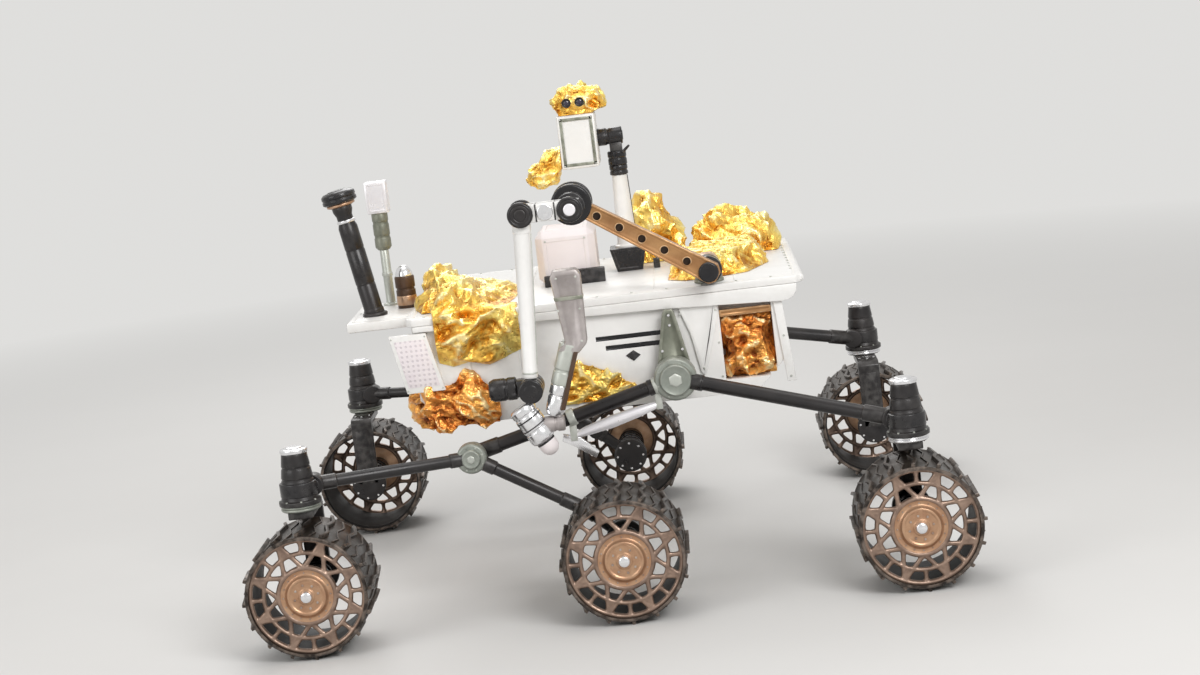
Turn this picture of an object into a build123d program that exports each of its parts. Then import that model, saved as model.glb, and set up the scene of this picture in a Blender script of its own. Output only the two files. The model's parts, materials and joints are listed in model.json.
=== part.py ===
from build123d import *

"""Six-wheeled Mars rover, a display model at about 1:2.5. Millimetres.

+X points forward, +Y to the rover's left and +Z up. The origin lies on the ground,
midway between the outermost wheels. Each sub-part is written to parts/NODE.step.
Small round pieces are many-sided bars, and the hinges have true round faces.
"""

from math import atan2, cos, degrees, hypot, pi, sin
import os

# Wheels
WHEEL_D = 200.0            # over the lugs
WHEEL_W = 144.0
TRACK = 850.0              # between the wheel centres, across the rover
AXLE_X = {"rear": -470.0, "middle": 18.0, "front": 470.0}
DRUM_SIDES = 32            # flats around the drum, with a lug on every second one
BORE_SIDES = 24
LUG_HEIGHT = 6.0
LUG_THICK = 5.0
RIM_WALL = 4.0
SPOKE_COUNT = 8            # pairs of struts between the hub ring and the rim
SPOKE_W = 5.0
SPOKE_DEPTH = 12.0
SPOKE_INSET = 14.0         # from the wheel's outer face to the middle of the spokes
HUB_RING_R = 44.0
HUB_RING_WALL = 6.0
HUB_PLATE_T = 8.0
HUB_CAP_R = 30.0
HUB_CAP_T = 6.0
HUB_NOSE_R = 9.0
HUB_NOSE_T = 7.0

# Steering
CAN_TOP_R = 20.0
CAN_BASE_R = 29.0
CAN_RING_R = 33.0
CAN_RING_H = 8.0
CAN_Z = WHEEL_D + 32.0     # underside of the fixed can
CAN_H = 80.0
CAN_CAP_H = 7.0
CAN_DOME_R = 14.0
CAN_DOME_H = 3.0
SEAT_GAP = 0.3             # between a moving piece and its seat
COLLAR_H = 9.0             # turning collar below the can
COLLAR_R = 31.0
BRACKET_T = 12.0
BRACKET_W = 38.0           # along the rover
BRACKET_CHAMFER = 10.0
BRACKET_REACH = 20.0       # past the steering axis, to the outer side
HUB_BOSS_R = 31.0
WHEEL_CLEAR = 9.0          # between the wheel and the bracket
DRIVE_R = 24.0             # hub motor
RUNNING_GAP = 0.5

# Body
BODY_X = (-285.0, 300.0)
BODY_HALF_W = 255.0
BODY_Z = (295.0, 462.0)
BODY_BEVEL = 46.0
PANEL_T = 5.0
PANEL_X = 172.0            # middle of the pointed panel
PANEL_DROP = 130.0         # from the deck to the panel's point
PANEL_HALF = 37.0
PANEL_TIP_HALF = 16.0
FRAME_W = 14.0
FRAME_LEAN = 12.0
FRAME_TOE = 11.0           # above the body's underside
STAND_HOLES = (200.0, 160.0)
STAND_HOLE_R = 3.2
STAND_HOLE_DEPTH = 18.0

# Bay in each side, ahead of the pointed panel
BAY_X = (205.0, 288.0)
BAY_Z = (318.0, 448.0)
BAY_DEPTH = 45.0
BAY_BAR_Z = (420.0, 431.0)
BAY_BAR_T = 8.0
BAY_FOIL_SHY = 6.0         # the bay's foil stays behind the side, then bulges past it
BAY_FOIL_BULGE = 10.0

# Deck
DECK_T = 13.0
DECK_OVERHANG = 11.0
DECK_X = (-292.0, 342.0)
DECK_CHAMFER = 10.0
DECK_Z = BODY_Z[1] + DECK_T
DECK_HALF_W = BODY_HALF_W + DECK_OVERHANG
RAIL_T = 7.0
RAIL_GAP = 1.0             # between the side panels and the rail
RAIL_H = (9.0, 26.0)       # below the deck, at the rear and at the front
RAIL_END = 20.0            # length of the rail's rounded front end

# Suspension
ROCKER_X = 125.0
ROCKER_Z = 338.0
ROCKER_Y = BODY_HALF_W + 45.0     # plane of the rocker's tubes
BOGIE_X = -208.0
BOGIE_Z = 254.0
BOGIE_Y = ROCKER_Y + 30.0         # plane of the bogie's tubes
TUBE_R = 13.0
BOGIE_TUBE_R = 11.5
ROCKER_CAP_R = 34.0
ROCKER_CAP_Y = (-20.0, 14.0, 22.0)    # inner face, step and outer face, from the rocker's plane
BOGIE_CAP_R = 24.0
BOGIE_CAP_Y = (-13.5, 12.0, 18.0)     # the same, from the bogie's plane
CAP_STEP = 9.0             # the outer step of a pivot cap is this much smaller
PIN_R = 18.0
ARM_Z = {"front": CAN_Z + 24.0, "rear": CAN_Z + 24.0}     # where each arm meets its can
ARM_BOSS_R = 17.0
ARM_BOSS_Y = (34.0, 8.0)   # boss at the can, inboard of the steering axis
ARM_BOSS_X = 20.0
KNEE_X = -40.0             # bend of the bogie's forward arm
KNEE_Z = WHEEL_D / 2 + 52.0
KNEE_R = 13.5
KNEE_HALF = 12.5
MIDDLE_HUB_R = 30.0
MIDDLE_HUB_Y = 13.0
AXLE_BOSS_R = 20.0
UPRIGHT_T = 10.0
UPRIGHT_HALF = (30.0, 9.0)     # half widths at the pivot and at the deck
UPRIGHT_TOP = -30.0        # from the deck's top face
BRACE_X = (-45.0, 95.0)
BRACE_DROP = 30.0          # from the arm's middle line to the brace
BRACE_R = 6.0
BRACE_LINK = 10.0

# Mast and camera head
MAST_X = 66.0
MAST_Y = 60.0
MAST_FOOT_HALF = (22.0, 31.0)  # half widths of its foot, at the deck and above
MAST_FOOT_H = 40.0
MAST_BASE_R = 17.0
MAST_TOP_R = 12.5
MAST_COLLAR_R = 15.5
MAST_COLLAR_H = 16.0
MAST_TOP_Z = 655.0
PAN_R = 16.0
PAN_H = 24.0
NECK_R = 9.0
TILT_Z = 705.0
TILT_R = 15.0
TILT_X = (-29.0, 14.0)     # ends of the tilt motor, from the mast
CAMERA_BOX = (64.0, 92.0, 90.0)
CAMERA_CHAMFER = 4.0
LENS_R = 8.0
LENS_T = 7.0
LENS_X = (-44.0, -22.0)    # from the camera box's mast side
LENS_Z = 21.0              # above the camera box

# Arm, stowed rearwards along the right side
SHOULDER_X = 196.0
SHOULDER_INSET = 33.0      # from the body's side to the shoulder's turning axis
SHOULDER_Z = 500.0
PEDESTAL_R = 24.0
PEDESTAL_H = 8.0
TURNTABLE_R = 22.0
TURNTABLE_H = 8.0
CHEEK = (36.0, 48.0, 20.0)     # upright of the turntable: length, width, height above the shoulder
BEAM_OFFSET = 37.0         # from the body's side to the upper arm's plane
BEAM_T = 26.0
BEAM_HALF = (17.0, 12.0)   # half heights at the shoulder and at the elbow
BEAM_HOLES = 5
BEAM_HOLE_R = 6.0
ELBOW_X = -4.0
ELBOW_Z = 632.0
SHOULDER_DRUM_R = 22.0
SHOULDER_CAP_T = 6.0
ELBOW_DRUM_R = 32.0
ELBOW_DRUM_T = (13.0, 21.0)    # inner and outer
FOREARM_X = -80.0          # at the elbow
FOREARM_OFFSET = 84.0      # from the upper arm's plane to the forearm's
FOREARM_R = (11.5, 14.5)   # at the wrist and at the elbow
LINK_T = 34.0
LINK_HALF_H = 14.0
FOREARM_HUB_R = 22.0
FOREARM_CAP_R = 20.0
FOREARM_CAP_T = 9.0
WRIST_X = -98.0
WRIST_Z = 358.0
WRIST_R = 19.0
WRIST_Y = (17.0, 51.0)     # ends of the wrist drum, outboard and inboard of the forearm
WRIST_BLOCK = (24.0, 14.0, 13.0)   # reach to the rear, half width and half height
SILVER = [(-20.0, -24.0), (12.0, -80.0)]     # ends of the turret's slanted cylinder, from the wrist
SILVER_R = 21.0
PALE_END = [(12.0, -80.0), (25.0, -102.75)]
PALE_R = 15.0
DARK_R = 18.0
DARK_END = 68.0            # rear end of the dark cylinder, from the wrist
STUB = (46.0, -56.0, 13.0) # end, height and radius of the bar that carries the drill
DRILL_T = 32.0
DRILL = [                  # outline above its foot: up the left side, across the top and down
    (25, 0), (40, 55), (62, 70), (50, 172), (56, 182), (92, 182), (98, 172), (96, 66), (80, 50), (62, 0),
]
DRILL_FOOT = (15.0, 45.0)

# Rear fittings
SHELF_X = (-405.0, -285.0)
SHELF_Y = (-135.0, 95.0)
SHELF_T = 16.0
SHELF_Z = 446.0
ANTENNA_X = -364.0
ANTENNA_Y = -60.0
ANTENNA_R = 17.0
ANTENNA_H = 188.0
ANTENNA_LEAN = -32.0       # how far its top stands to the rear of its foot
ANTENNA_FOOT = (21.0, 6.0) # radius and height
ANTENNA_CAP_R = 29.0
ANTENNA_CAP_H = 22.0
ANTENNA_RING_R = 24.0
ANTENNA_RING_H = 6.0
RELAY_X = -350.0
RELAY_Y = 60.0
RELAY_POST_R = 8.0
RELAY_DRUM_R = 14.0
RELAY_DRUM_Z = (558.0, 622.0)
RELAY_BOX = (36.0, 36.0, 54.0)
RADIATOR = [(-37, -11), (23, -11), (44, -106), (-18, -106)]     # from the body's rear top corner
RADIATOR_T = 12.0

# Deck gear
GEAR_BOX_X = (-85.0, 15.0)
GEAR_BOX_Y = (-50.0, 70.0)
GEAR_BOX_H = 92.0
GEAR_BOX_CHAMFER = 14.0
FITTINGS = [               # low black pieces on the deck: middle, size
    ((2.0, -57.0), (48.0, 14.0, 24.0)),
    ((-66.0, -56.0), (20.0, 12.0, 18.0)),
    ((112.0, 40.0), (11.0, 11.0, 17.0)),
    ((150.0, -80.0), (20.0, 12.0, 13.0)),
]
SHELF_DRUM = (-315.0, 0.0, 17.0, 72.0)

RIGHT = -1
LEFT = 1
ROUND_SIDES = 16                 # sides of a small round piece
TUBE_SIDES = 12                  # sides of a tube


def corners(plane, radius, sides):
    """Corners of a regular outline on a plane, with a flat at its start."""
    angles = [2 * pi * (i + 0.5) / sides for i in range(sides)]
    return [plane.from_local_coords((radius * cos(a), radius * sin(a), 0)) for a in angles]


def flat(points):
    """A flat face from its corners."""
    return Face(Wire.make_polygon(points, close=True))


def bar(start, end, radius, sides=ROUND_SIDES):
    """A many-sided bar from one point to another."""
    line = Vector(*end) - Vector(*start)
    plane = Plane(origin=start, z_dir=line)
    return Solid.extrude(flat(corners(plane, radius, sides)), line)


def rod(start, end, radius):
    """A true round bar from one point to another."""
    line = Vector(*end) - Vector(*start)
    return Solid.make_cylinder(radius, line.length, Plane(origin=start, z_dir=line))


def skin(rings):
    """A closed solid through rings of as many points each: flat triangles, and flat ends."""
    faces = [flat(rings[0]), flat(rings[-1])]
    for low, high in zip(rings, rings[1:]):
        for i in range(len(low)):
            j = (i + 1) % len(low)
            faces.append(flat([low[i], low[j], high[j]]))
            faces.append(flat([low[i], high[j], high[i]]))
    return Solid(Shell(faces))


def taper(start, end, r_start, r_end, sides=ROUND_SIDES):
    """A many-sided bar that narrows from one point to another."""
    line = Vector(*end) - Vector(*start)
    return skin([corners(Plane(origin=start, z_dir=line), r_start, sides),
                 corners(Plane(origin=end, z_dir=line), r_end, sides)])


def cone(x, y, z_low, z_high, r_low, r_high, sides=ROUND_SIDES):
    """A many-sided upright bar that narrows."""
    return taper((x, y, z_low), (x, y, z_high), r_low, r_high, sides)


def block(x, y, z):
    """A box from pairs of low and high values."""
    size = (x[1] - x[0], y[1] - y[0], z[1] - z[0])
    return Solid.make_box(*size, Plane(origin=(x[0], y[0], z[0])))


def span(side, a, b):
    """The low and high Y of a piece that reaches from a to b on one side."""
    return tuple(sorted((side * a, side * b)))


def side_plate(points, y):
    """A plate with an outline in X and Z, between two values of Y."""
    face = flat([(x, y[0], z) for x, z in points])
    return Solid.extrude(face, Vector(0, y[1] - y[0], 0))


def fuse(parts):
    """One solid from touching pieces."""
    body = parts[0]
    for part in parts[1:]:
        body = body + part
    return body


def write(name, parts):
    """Writes one node, given one solid or several that don't touch."""
    solids = []
    for part in parts if isinstance(parts, list) else [parts]:
        solids += part.solids()
    shape = solids[0] if len(solids) == 1 else Compound(children=solids)
    export_step(shape, f"parts/{name}.step")


def drum():
    """The wheel's wide rim with its lugs, about the Y axis."""
    outer = WHEEL_D / 2 - LUG_HEIGHT
    wide = WHEEL_W / 2
    shell = bar((0, -wide, 0), (0, wide, 0), outer / cos(pi / DRUM_SIDES), DRUM_SIDES)
    bore = (outer - RIM_WALL) / cos(pi / BORE_SIDES)
    shell = shell - bar((0, -wide, 0), (0, wide, 0), bore, BORE_SIDES)
    lug = block((-LUG_THICK / 2, LUG_THICK / 2), (-wide, wide), (outer - RIM_WALL / 2, WHEEL_D / 2))
    return fuse([shell] + [Rot(0, 720 * i / DRUM_SIDES, 0) * lug for i in range(DRUM_SIDES // 2)])


def spoke(inner, outer, low, high):
    """A strut of the wheel's face between two places given as radius and angle."""
    a = (inner[0] * cos(inner[1]), inner[0] * sin(inner[1]))
    b = (outer[0] * cos(outer[1]), outer[0] * sin(outer[1]))
    length = hypot(b[0] - a[0], b[1] - a[1])
    nx = -(b[1] - a[1]) / length * SPOKE_W / 2
    nz = (b[0] - a[0]) / length * SPOKE_W / 2
    points = [(a[0] + nx, a[1] + nz), (b[0] + nx, b[1] + nz), (b[0] - nx, b[1] - nz), (a[0] - nx, a[1] - nz)]
    return side_plate(points, (low, high))


def wheel():
    """A wheel about the Y axis at the origin, with its spoked face towards -Y."""
    plane_y = -WHEEL_W / 2 + SPOKE_INSET
    low = plane_y - SPOKE_DEPTH / 2
    high = plane_y + SPOKE_DEPTH / 2
    flats = cos(pi / SPOKE_COUNT)
    ring = bar((0, low, 0), (0, high, 0), HUB_RING_R / flats, SPOKE_COUNT)
    ring = ring - bar((0, low, 0), (0, high, 0), (HUB_RING_R - HUB_RING_WALL) / flats, SPOKE_COUNT)
    spokes = []
    for i in range(SPOKE_COUNT):
        start = (HUB_RING_R - HUB_RING_WALL / 2, 2 * pi * i / SPOKE_COUNT)
        for turn in (-1, 1):
            end = (WHEEL_D / 2 - LUG_HEIGHT - RIM_WALL / 2, start[1] + turn * pi / SPOKE_COUNT)
            spokes.append(spoke(start, end, low, high))
    inner = plane_y + HUB_PLATE_T / 2
    outer = plane_y - HUB_PLATE_T / 2
    plate = bar((0, outer, 0), (0, inner, 0), (HUB_RING_R - 1) / flats, SPOKE_COUNT)
    cap = bar((0, outer, 0), (0, outer - HUB_CAP_T, 0), HUB_CAP_R, 2 * SPOKE_COUNT)
    nose = bar((0, outer - HUB_CAP_T, 0), (0, outer - HUB_CAP_T - HUB_NOSE_T, 0), HUB_NOSE_R, 6)
    return fuse([drum(), ring] + spokes + [plate, cap, nose])


def wheel_nodes():
    right = wheel()
    for axle, x in AXLE_X.items():
        for side, word in ((RIGHT, "right"), (LEFT, "left")):
            turn = 0 if side == RIGHT else 180
            write(f"wheel_{axle}_{word}", Pos(x, side * TRACK / 2, WHEEL_D / 2) * Rot(0, 0, turn) * right)


def drive_end():
    """How far outboard of a wheel's middle its drive reaches."""
    return WHEEL_W / 2 - SPOKE_INSET - HUB_PLATE_T / 2 - RUNNING_GAP


def knuckle():
    """The turning bracket of a steered wheel on the right side, with the axle at the origin."""
    inner = WHEEL_W / 2 + WHEEL_CLEAR
    back = inner + BRACKET_T
    top = CAN_Z - SEAT_GAP - WHEEL_D / 2
    shelf = top - COLLAR_H
    cut = BRACKET_CHAMFER
    low = shelf - BRACKET_T
    outline = [(-BRACKET_REACH, low), (-BRACKET_REACH, shelf), (back - cut, shelf), (back, shelf - cut)]
    outline += [(back, 0), (inner, 0), (inner, low)]
    face = flat([(-BRACKET_W / 2, y, z) for y, z in outline])
    bracket = Solid.extrude(face, Vector(BRACKET_W, 0, 0))
    collar = bar((0, 0, shelf), (0, 0, top), COLLAR_R)
    boss = bar((0, inner, 0), (0, back, 0), HUB_BOSS_R)
    drive = rod((0, inner, 0), (0, -drive_end(), 0), DRIVE_R)
    return fuse([bracket, collar, boss, drive])


def knuckle_nodes():
    right = knuckle()
    for axle in ("rear", "front"):
        for side, word in ((RIGHT, "right"), (LEFT, "left")):
            turn = 0 if side == RIGHT else 180
            place = Pos(AXLE_X[axle], side * TRACK / 2, WHEEL_D / 2) * Rot(0, 0, turn)
            write(f"knuckle_{axle}_{word}", place * right)


def can(x, y):
    """A steering can with its silver cap, for the steering axis at x and y."""
    top = CAN_Z + CAN_H
    body = cone(x, y, CAN_Z + CAN_RING_H, top, CAN_BASE_R, CAN_TOP_R)
    ring = rod((x, y, CAN_Z), (x, y, CAN_Z + CAN_RING_H), CAN_RING_R)
    cap = bar((x, y, top), (x, y, top + CAN_CAP_H), CAN_TOP_R + 1.5)
    dome = bar((x, y, top + CAN_CAP_H), (x, y, top + CAN_CAP_H + CAN_DOME_H), CAN_DOME_R)
    return [body, ring, cap, dome]


def pivot_cap(x, z, side, plane_y, steps, radius):
    """A stepped round cap on a pivot that lies across the rover."""
    inner, step, outer = [side * (plane_y + offset) for offset in steps]
    wide = bar((x, inner, z), (x, step, z), radius)
    narrow = bar((x, step, z), (x, outer, z), radius - CAP_STEP)
    return [wide, narrow]


def arm_to_can(start, axle, side, radius):
    """A tube from a pivot to the boss on a steering can, with that boss and the can."""
    towards = 1 if start[0] > AXLE_X[axle] else -1
    x = AXLE_X[axle] + towards * ARM_BOSS_X
    far, near = [side * (TRACK / 2 - offset) for offset in ARM_BOSS_Y]
    z = ARM_Z[axle]
    boss = bar((x, far, z), (x, near, z), ARM_BOSS_R, TUBE_SIDES)
    tube = bar(start, (x, (far + near) / 2, z), radius, TUBE_SIDES)
    return [tube, boss] + can(AXLE_X[axle], side * TRACK / 2)


def rear_arm_z(x):
    """Height of the rocker's rear tube at x."""
    return ROCKER_Z + (x - ROCKER_X) * (BOGIE_Z - ROCKER_Z) / (BOGIE_X - ROCKER_X)


def rocker(side):
    """The rocker's two arms, from its pivot to the front can and to the bogie's pivot."""
    y = side * ROCKER_Y
    pivot = (ROCKER_X, y, ROCKER_Z)
    rear = bar(pivot, (BOGIE_X, y, BOGIE_Z), TUBE_R, TUBE_SIDES)
    pin_end = side * (BOGIE_Y + BOGIE_CAP_Y[0])
    pin = bar((BOGIE_X, side * (ROCKER_Y - TUBE_R - 2), BOGIE_Z), (BOGIE_X, pin_end, BOGIE_Z), PIN_R)
    cap = pivot_cap(ROCKER_X, ROCKER_Z, side, ROCKER_Y, ROCKER_CAP_Y, ROCKER_CAP_R)
    ends = [(x, y, rear_arm_z(x) - BRACE_DROP) for x in BRACE_X]
    brace = [bar(ends[0], ends[1], BRACE_R, 8)]
    for x, _, z in ends:
        half = BRACE_LINK / 2
        brace.append(block((x - half, x + half), (y - half, y + half), (z - BRACE_R - 1, z + BRACE_DROP)))
    return fuse(arm_to_can(pivot, "front", side, TUBE_R) + [rear, pin] + cap + brace)


def bogie(side):
    """The bogie's two arms, with the rear can and the drive of the middle wheel."""
    y = side * BOGIE_Y
    x = AXLE_X["middle"]
    axle_z = WHEEL_D / 2
    pivot = (BOGIE_X, y, BOGIE_Z)
    cap = pivot_cap(BOGIE_X, BOGIE_Z, side, BOGIE_Y, BOGIE_CAP_Y, BOGIE_CAP_R)
    knee = (KNEE_X, y, KNEE_Z)
    arms = [bar(pivot, knee, BOGIE_TUBE_R, TUBE_SIDES), bar(knee, (x, y, axle_z), BOGIE_TUBE_R, TUBE_SIDES)]
    arms.append(bar((KNEE_X, y - KNEE_HALF, KNEE_Z), (KNEE_X, y + KNEE_HALF, KNEE_Z), KNEE_R, TUBE_SIDES))
    hub_y = [side * (BOGIE_Y - MIDDLE_HUB_Y), side * (BOGIE_Y + MIDDLE_HUB_Y)]
    hub = bar((x, hub_y[0], axle_z), (x, hub_y[1], axle_z), MIDDLE_HUB_R)
    drive = rod((x, hub_y[1], axle_z), (x, side * (TRACK / 2 + drive_end()), axle_z), DRIVE_R)
    return fuse(arm_to_can(pivot, "rear", side, BOGIE_TUBE_R) + cap + arms + [hub, drive])


def bracket_y():
    """Inner and outer face of a rocker's upright bracket, from the rover's middle."""
    outer = ROCKER_Y + ROCKER_CAP_Y[0]
    return outer - UPRIGHT_T, outer


def rocker_brackets():
    """The grey upright on each side that rises from the rocker's pivot to the deck."""
    wide, narrow = UPRIGHT_HALF
    top = DECK_Z + UPRIGHT_TOP
    points = [(ROCKER_X - wide, ROCKER_Z), (ROCKER_X - wide * 0.7, ROCKER_Z - wide * 0.7)]
    points += [(ROCKER_X + wide * 0.7, ROCKER_Z - wide * 0.7), (ROCKER_X + wide, ROCKER_Z)]
    points += [(ROCKER_X + narrow, top), (ROCKER_X - narrow, top)]
    return [side_plate(points, span(side, *bracket_y())) for side in (RIGHT, LEFT)]


def suspension_nodes():
    for side, word in ((RIGHT, "right"), (LEFT, "left")):
        write(f"rocker_{word}", rocker(side))
        write(f"bogie_{word}", bogie(side))
    write("rocker_brackets", rocker_brackets())


def body_shell():
    """The closed body box with bevelled lower edges and an open bay in each side at the front."""
    x0, x1 = BODY_X
    z0, z1 = BODY_Z
    bevel = BODY_BEVEL
    outline = [(x0, z1), (x1, z1), (x1, z0 + bevel), (x1 - bevel, z0), (x0 + bevel, z0), (x0, z0 + bevel)]
    shell = side_plate(outline, (-BODY_HALF_W, BODY_HALF_W))
    for side in (RIGHT, LEFT):
        shell = shell - block(BAY_X, span(side, BODY_HALF_W - BAY_DEPTH, BODY_HALF_W + 1), BAY_Z)
        root = (ROCKER_X, side * (BODY_HALF_W - 5), ROCKER_Z)
        shell = shell + bar(root, (ROCKER_X, side * bracket_y()[0], ROCKER_Z), AXLE_BOSS_R)
    for x in (-STAND_HOLES[0] / 2, STAND_HOLES[0] / 2):
        for y in (-STAND_HOLES[1] / 2, STAND_HOLES[1] / 2):
            shell = shell - rod((x, y, z0 - 1), (x, y, z0 + STAND_HOLE_DEPTH), STAND_HOLE_R)
    return shell


def deck():
    """The top plate."""
    plate = block(DECK_X, (-DECK_HALF_W, DECK_HALF_W), (BODY_Z[1], DECK_Z))
    return chamfer(plate.edges().filter_by(Axis.Z), DECK_CHAMFER)


def deck_rails():
    """The strip below each long edge of the deck, deeper towards its rounded front end."""
    rear, front = RAIL_H
    x0, x1 = DECK_X[0] + DECK_CHAMFER, DECK_X[1] - DECK_CHAMFER
    z = BODY_Z[1]
    points = [(x0, z), (x0, z - rear), (ROCKER_X, z - (rear + front) / 2), (x1 - RAIL_END, z - front)]
    points += [(x1 - RAIL_END / 4, z - front * 0.7), (x1, z - front * 0.3), (x1, z)]
    inner = BODY_HALF_W + PANEL_T + RAIL_GAP
    return [side_plate(points, span(side, inner, inner + RAIL_T)) for side in (RIGHT, LEFT)]


def side_panels():
    """The white pointed panel on each side, and the narrow frame ahead of the bay."""
    top = BODY_Z[1] - 2
    point = BODY_Z[1] - PANEL_DROP
    waist = (top + point) / 2 + 4
    panel = [(PANEL_X - PANEL_HALF, top), (PANEL_X + PANEL_HALF, top), (PANEL_X + PANEL_TIP_HALF + 8, waist)]
    panel += [(PANEL_X + 4, point), (PANEL_X - 4, point), (PANEL_X - PANEL_TIP_HALF, waist)]
    toe = BODY_Z[0] + FRAME_TOE
    x = BAY_X[1] + 2
    frame = [(x, top), (x + FRAME_W, top), (x + FRAME_W + FRAME_LEAN, toe), (x + FRAME_LEAN, toe)]
    solids = []
    for side in (RIGHT, LEFT):
        y = span(side, BODY_HALF_W, BODY_HALF_W + PANEL_T)
        solids += [side_plate(panel, y), side_plate(frame, y)]
    return solids


def bay_bars():
    """The bronze bar across the top of each bay."""
    rows = [span(side, BODY_HALF_W - BAY_BAR_T, BODY_HALF_W) for side in (RIGHT, LEFT)]
    return [block(BAY_X, y, BAY_BAR_Z) for y in rows]


def heap(x, z, table):
    """A foil bundle about x, standing on z, from rows of Y and outline points in X and Z."""
    return skin([[(x + dx, y, z + dz) for dx, dz in points] for y, points in table])


MOUND_X = -203.0
MOUND = [
    (-218, [(-68, 0), (-60, 16), (-34, 28), (-6, 34), (30, 26), (62, 12), (72, 0)]),
    (-150, [(-84, 0), (-70, 30), (-46, 46), (-10, 52), (24, 40), (66, 20), (82, 0)]),
    (-80, [(-80, 0), (-74, 38), (-40, 64), (-12, 56), (34, 48), (70, 24), (86, 0)]),
    (10, [(-86, 0), (-66, 32), (-44, 54), (-4, 60), (30, 44), (74, 28), (82, 0)]),
    (90, [(-78, 0), (-70, 26), (-36, 42), (-10, 46), (26, 40), (60, 18), (80, 0)]),
    (172, [(-70, 0), (-58, 14), (-38, 24), (-8, 30), (28, 22), (54, 10), (66, 0)]),
]
DRAPE = [                  # rows of X, reach outside the rail, height over the deck and lower edge
    (-248, 8, 16, 396),
    (-226, 20, 40, 388),
    (-196, 24, 34, 394),
    (-166, 17, 28, 386),
    (-136, 19, 16, 396),
    (-112, 8, 5, 404),
]
BUNDLE_A_X = 112.0
BUNDLE_A = [
    (116, [(-42, 0), (-38, 52), (-16, 96), (10, 90), (34, 44), (44, 0)]),
    (150, [(-50, 0), (-46, 70), (-20, 121), (14, 108), (44, 52), (52, 0)]),
    (200, [(-46, 0), (-40, 62), (-24, 104), (20, 110), (46, 60), (50, 0)]),
    (246, [(-36, 0), (-30, 40), (-8, 78), (16, 70), (32, 36), (38, 0)]),
]
BUNDLE_B_X = 250.0
BUNDLE_B = [
    (92, [(-70, 0), (-60, 36), (-30, 58), (12, 50), (54, 40), (72, 0)]),
    (146, [(-78, 0), (-66, 48), (-34, 76), (10, 62), (58, 62), (80, 0)]),
    (200, [(-74, 0), (-64, 40), (-20, 70), (16, 74), (56, 46), (78, 0)]),
    (248, [(-60, 0), (-50, 26), (-18, 48), (14, 42), (46, 30), (62, 0)]),
]
REAR_FOIL = [              # rows of Y, reach to the rear and drop
    (-238, 14, 2), (-170, 30, 14), (-90, 22, 10), (-20, 31, 16), (60, 24, 9), (150, 20, 12), (236, 12, 3),
]
SIDE_FOIL = [              # rows of X, reach from the side and top
    (-280, 10, 348), (-262, 22, 353), (-236, 18, 349), (-208, 25, 362), (-180, 17, 352), (-158, 8, 338),
]
PATCH = [(-62, -14), (-62, 62), (-34, 58), (2, 46), (36, 28), (62, 6), (50, -6), (10, -14)]
PATCH_Z = 320.0
PATCH_T = 8.0


def rear_foil():
    """The bundle under the body's rear bevel: rows of Y, reach to the rear and drop."""
    x, z = BODY_X[0], BODY_Z[0]
    bevel = BODY_BEVEL
    rings = []
    for y, reach, drop in REAR_FOIL:
        points = [(x - 0.1, z + bevel), (x - reach, z + 0.8 * bevel), (x - reach + 8, z + 4)]
        points += [(x + 6, z - drop), (x + bevel - 6, z - drop / 2), (x + bevel, z - 0.1)]
        rings.append([(px, y, pz) for px, pz in points])
    return skin(rings)


def drape():
    """The foil that hangs from the mound over the deck's right edge and down the body's side."""
    wall, edge = BODY_HALF_W + 0.1, DECK_HALF_W + 2.5
    rings = []
    for x, reach, rise, low in DRAPE:
        points = [(wall, low), (wall, 443), (edge, 443), (edge, DECK_Z + 0.1), (219, DECK_Z + 0.1)]
        points += [(219, DECK_Z + rise), (edge - 8, DECK_Z + rise * 0.9), (edge + reach, DECK_Z - 12)]
        points += [(edge + reach * 0.9, 430), (edge + reach * 0.2, low + 4)]
        rings.append([(x, RIGHT * y, z) for y, z in points])
    return skin(rings)


def side_foil():
    """The foil below the radiator, on the right side of the body's rear end."""
    wall, z = BODY_HALF_W + 0.1, BODY_Z[0]
    rings = []
    for x, reach, top in SIDE_FOIL:
        points = [(wall, z - 4), (wall, top), (wall + reach * 0.7, top - 10)]
        points += [(wall + reach, z + 26), (wall + reach * 0.6, z - 6)]
        rings.append([(x, RIGHT * y, pz) for y, pz in points])
    return skin(rings)


def bay_foil(side):
    """The foil in a bay, which bulges a little out of it."""
    deep = BODY_HALF_W - BAY_DEPTH
    lip = BODY_HALF_W - BAY_BAR_T - BAY_FOIL_SHY
    x0, x1 = BAY_X
    z0, z1 = BAY_Z[0], BAY_BAR_Z[0]
    mx, mz = (x0 + x1) / 2, (z0 + z1) / 2
    rows = [(deep, 1.0), (lip, 0.94), (BODY_HALF_W + BAY_FOIL_BULGE, 0.62)]
    frame = [(x0, z0), (mx - 8, z0), (x1, z0), (x1, mz + 9), (x1, z1), (mx + 6, z1), (x0, z1), (x0, mz - 7)]
    return skin([[(mx + (x - mx) * k, side * y, mz + (z - mz) * k) for x, z in frame] for y, k in rows])


def foil_nodes():
    write("foil_mound", [heap(MOUND_X, DECK_Z, MOUND), drape()])
    write("foil_deck_bundles", [heap(BUNDLE_A_X, DECK_Z, BUNDLE_A), heap(BUNDLE_B_X, DECK_Z, BUNDLE_B)])
    write("foil_rear_lower", [rear_foil(), side_foil()])
    write("foil_bays", [bay_foil(RIGHT), bay_foil(LEFT)])
    patch = [(x, PATCH_Z + z) for x, z in PATCH]
    rows = [span(side, BODY_HALF_W, BODY_HALF_W + PATCH_T) for side in (RIGHT, LEFT)]
    write("foil_side_patches", [side_plate(patch, y) for y in rows])


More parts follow.
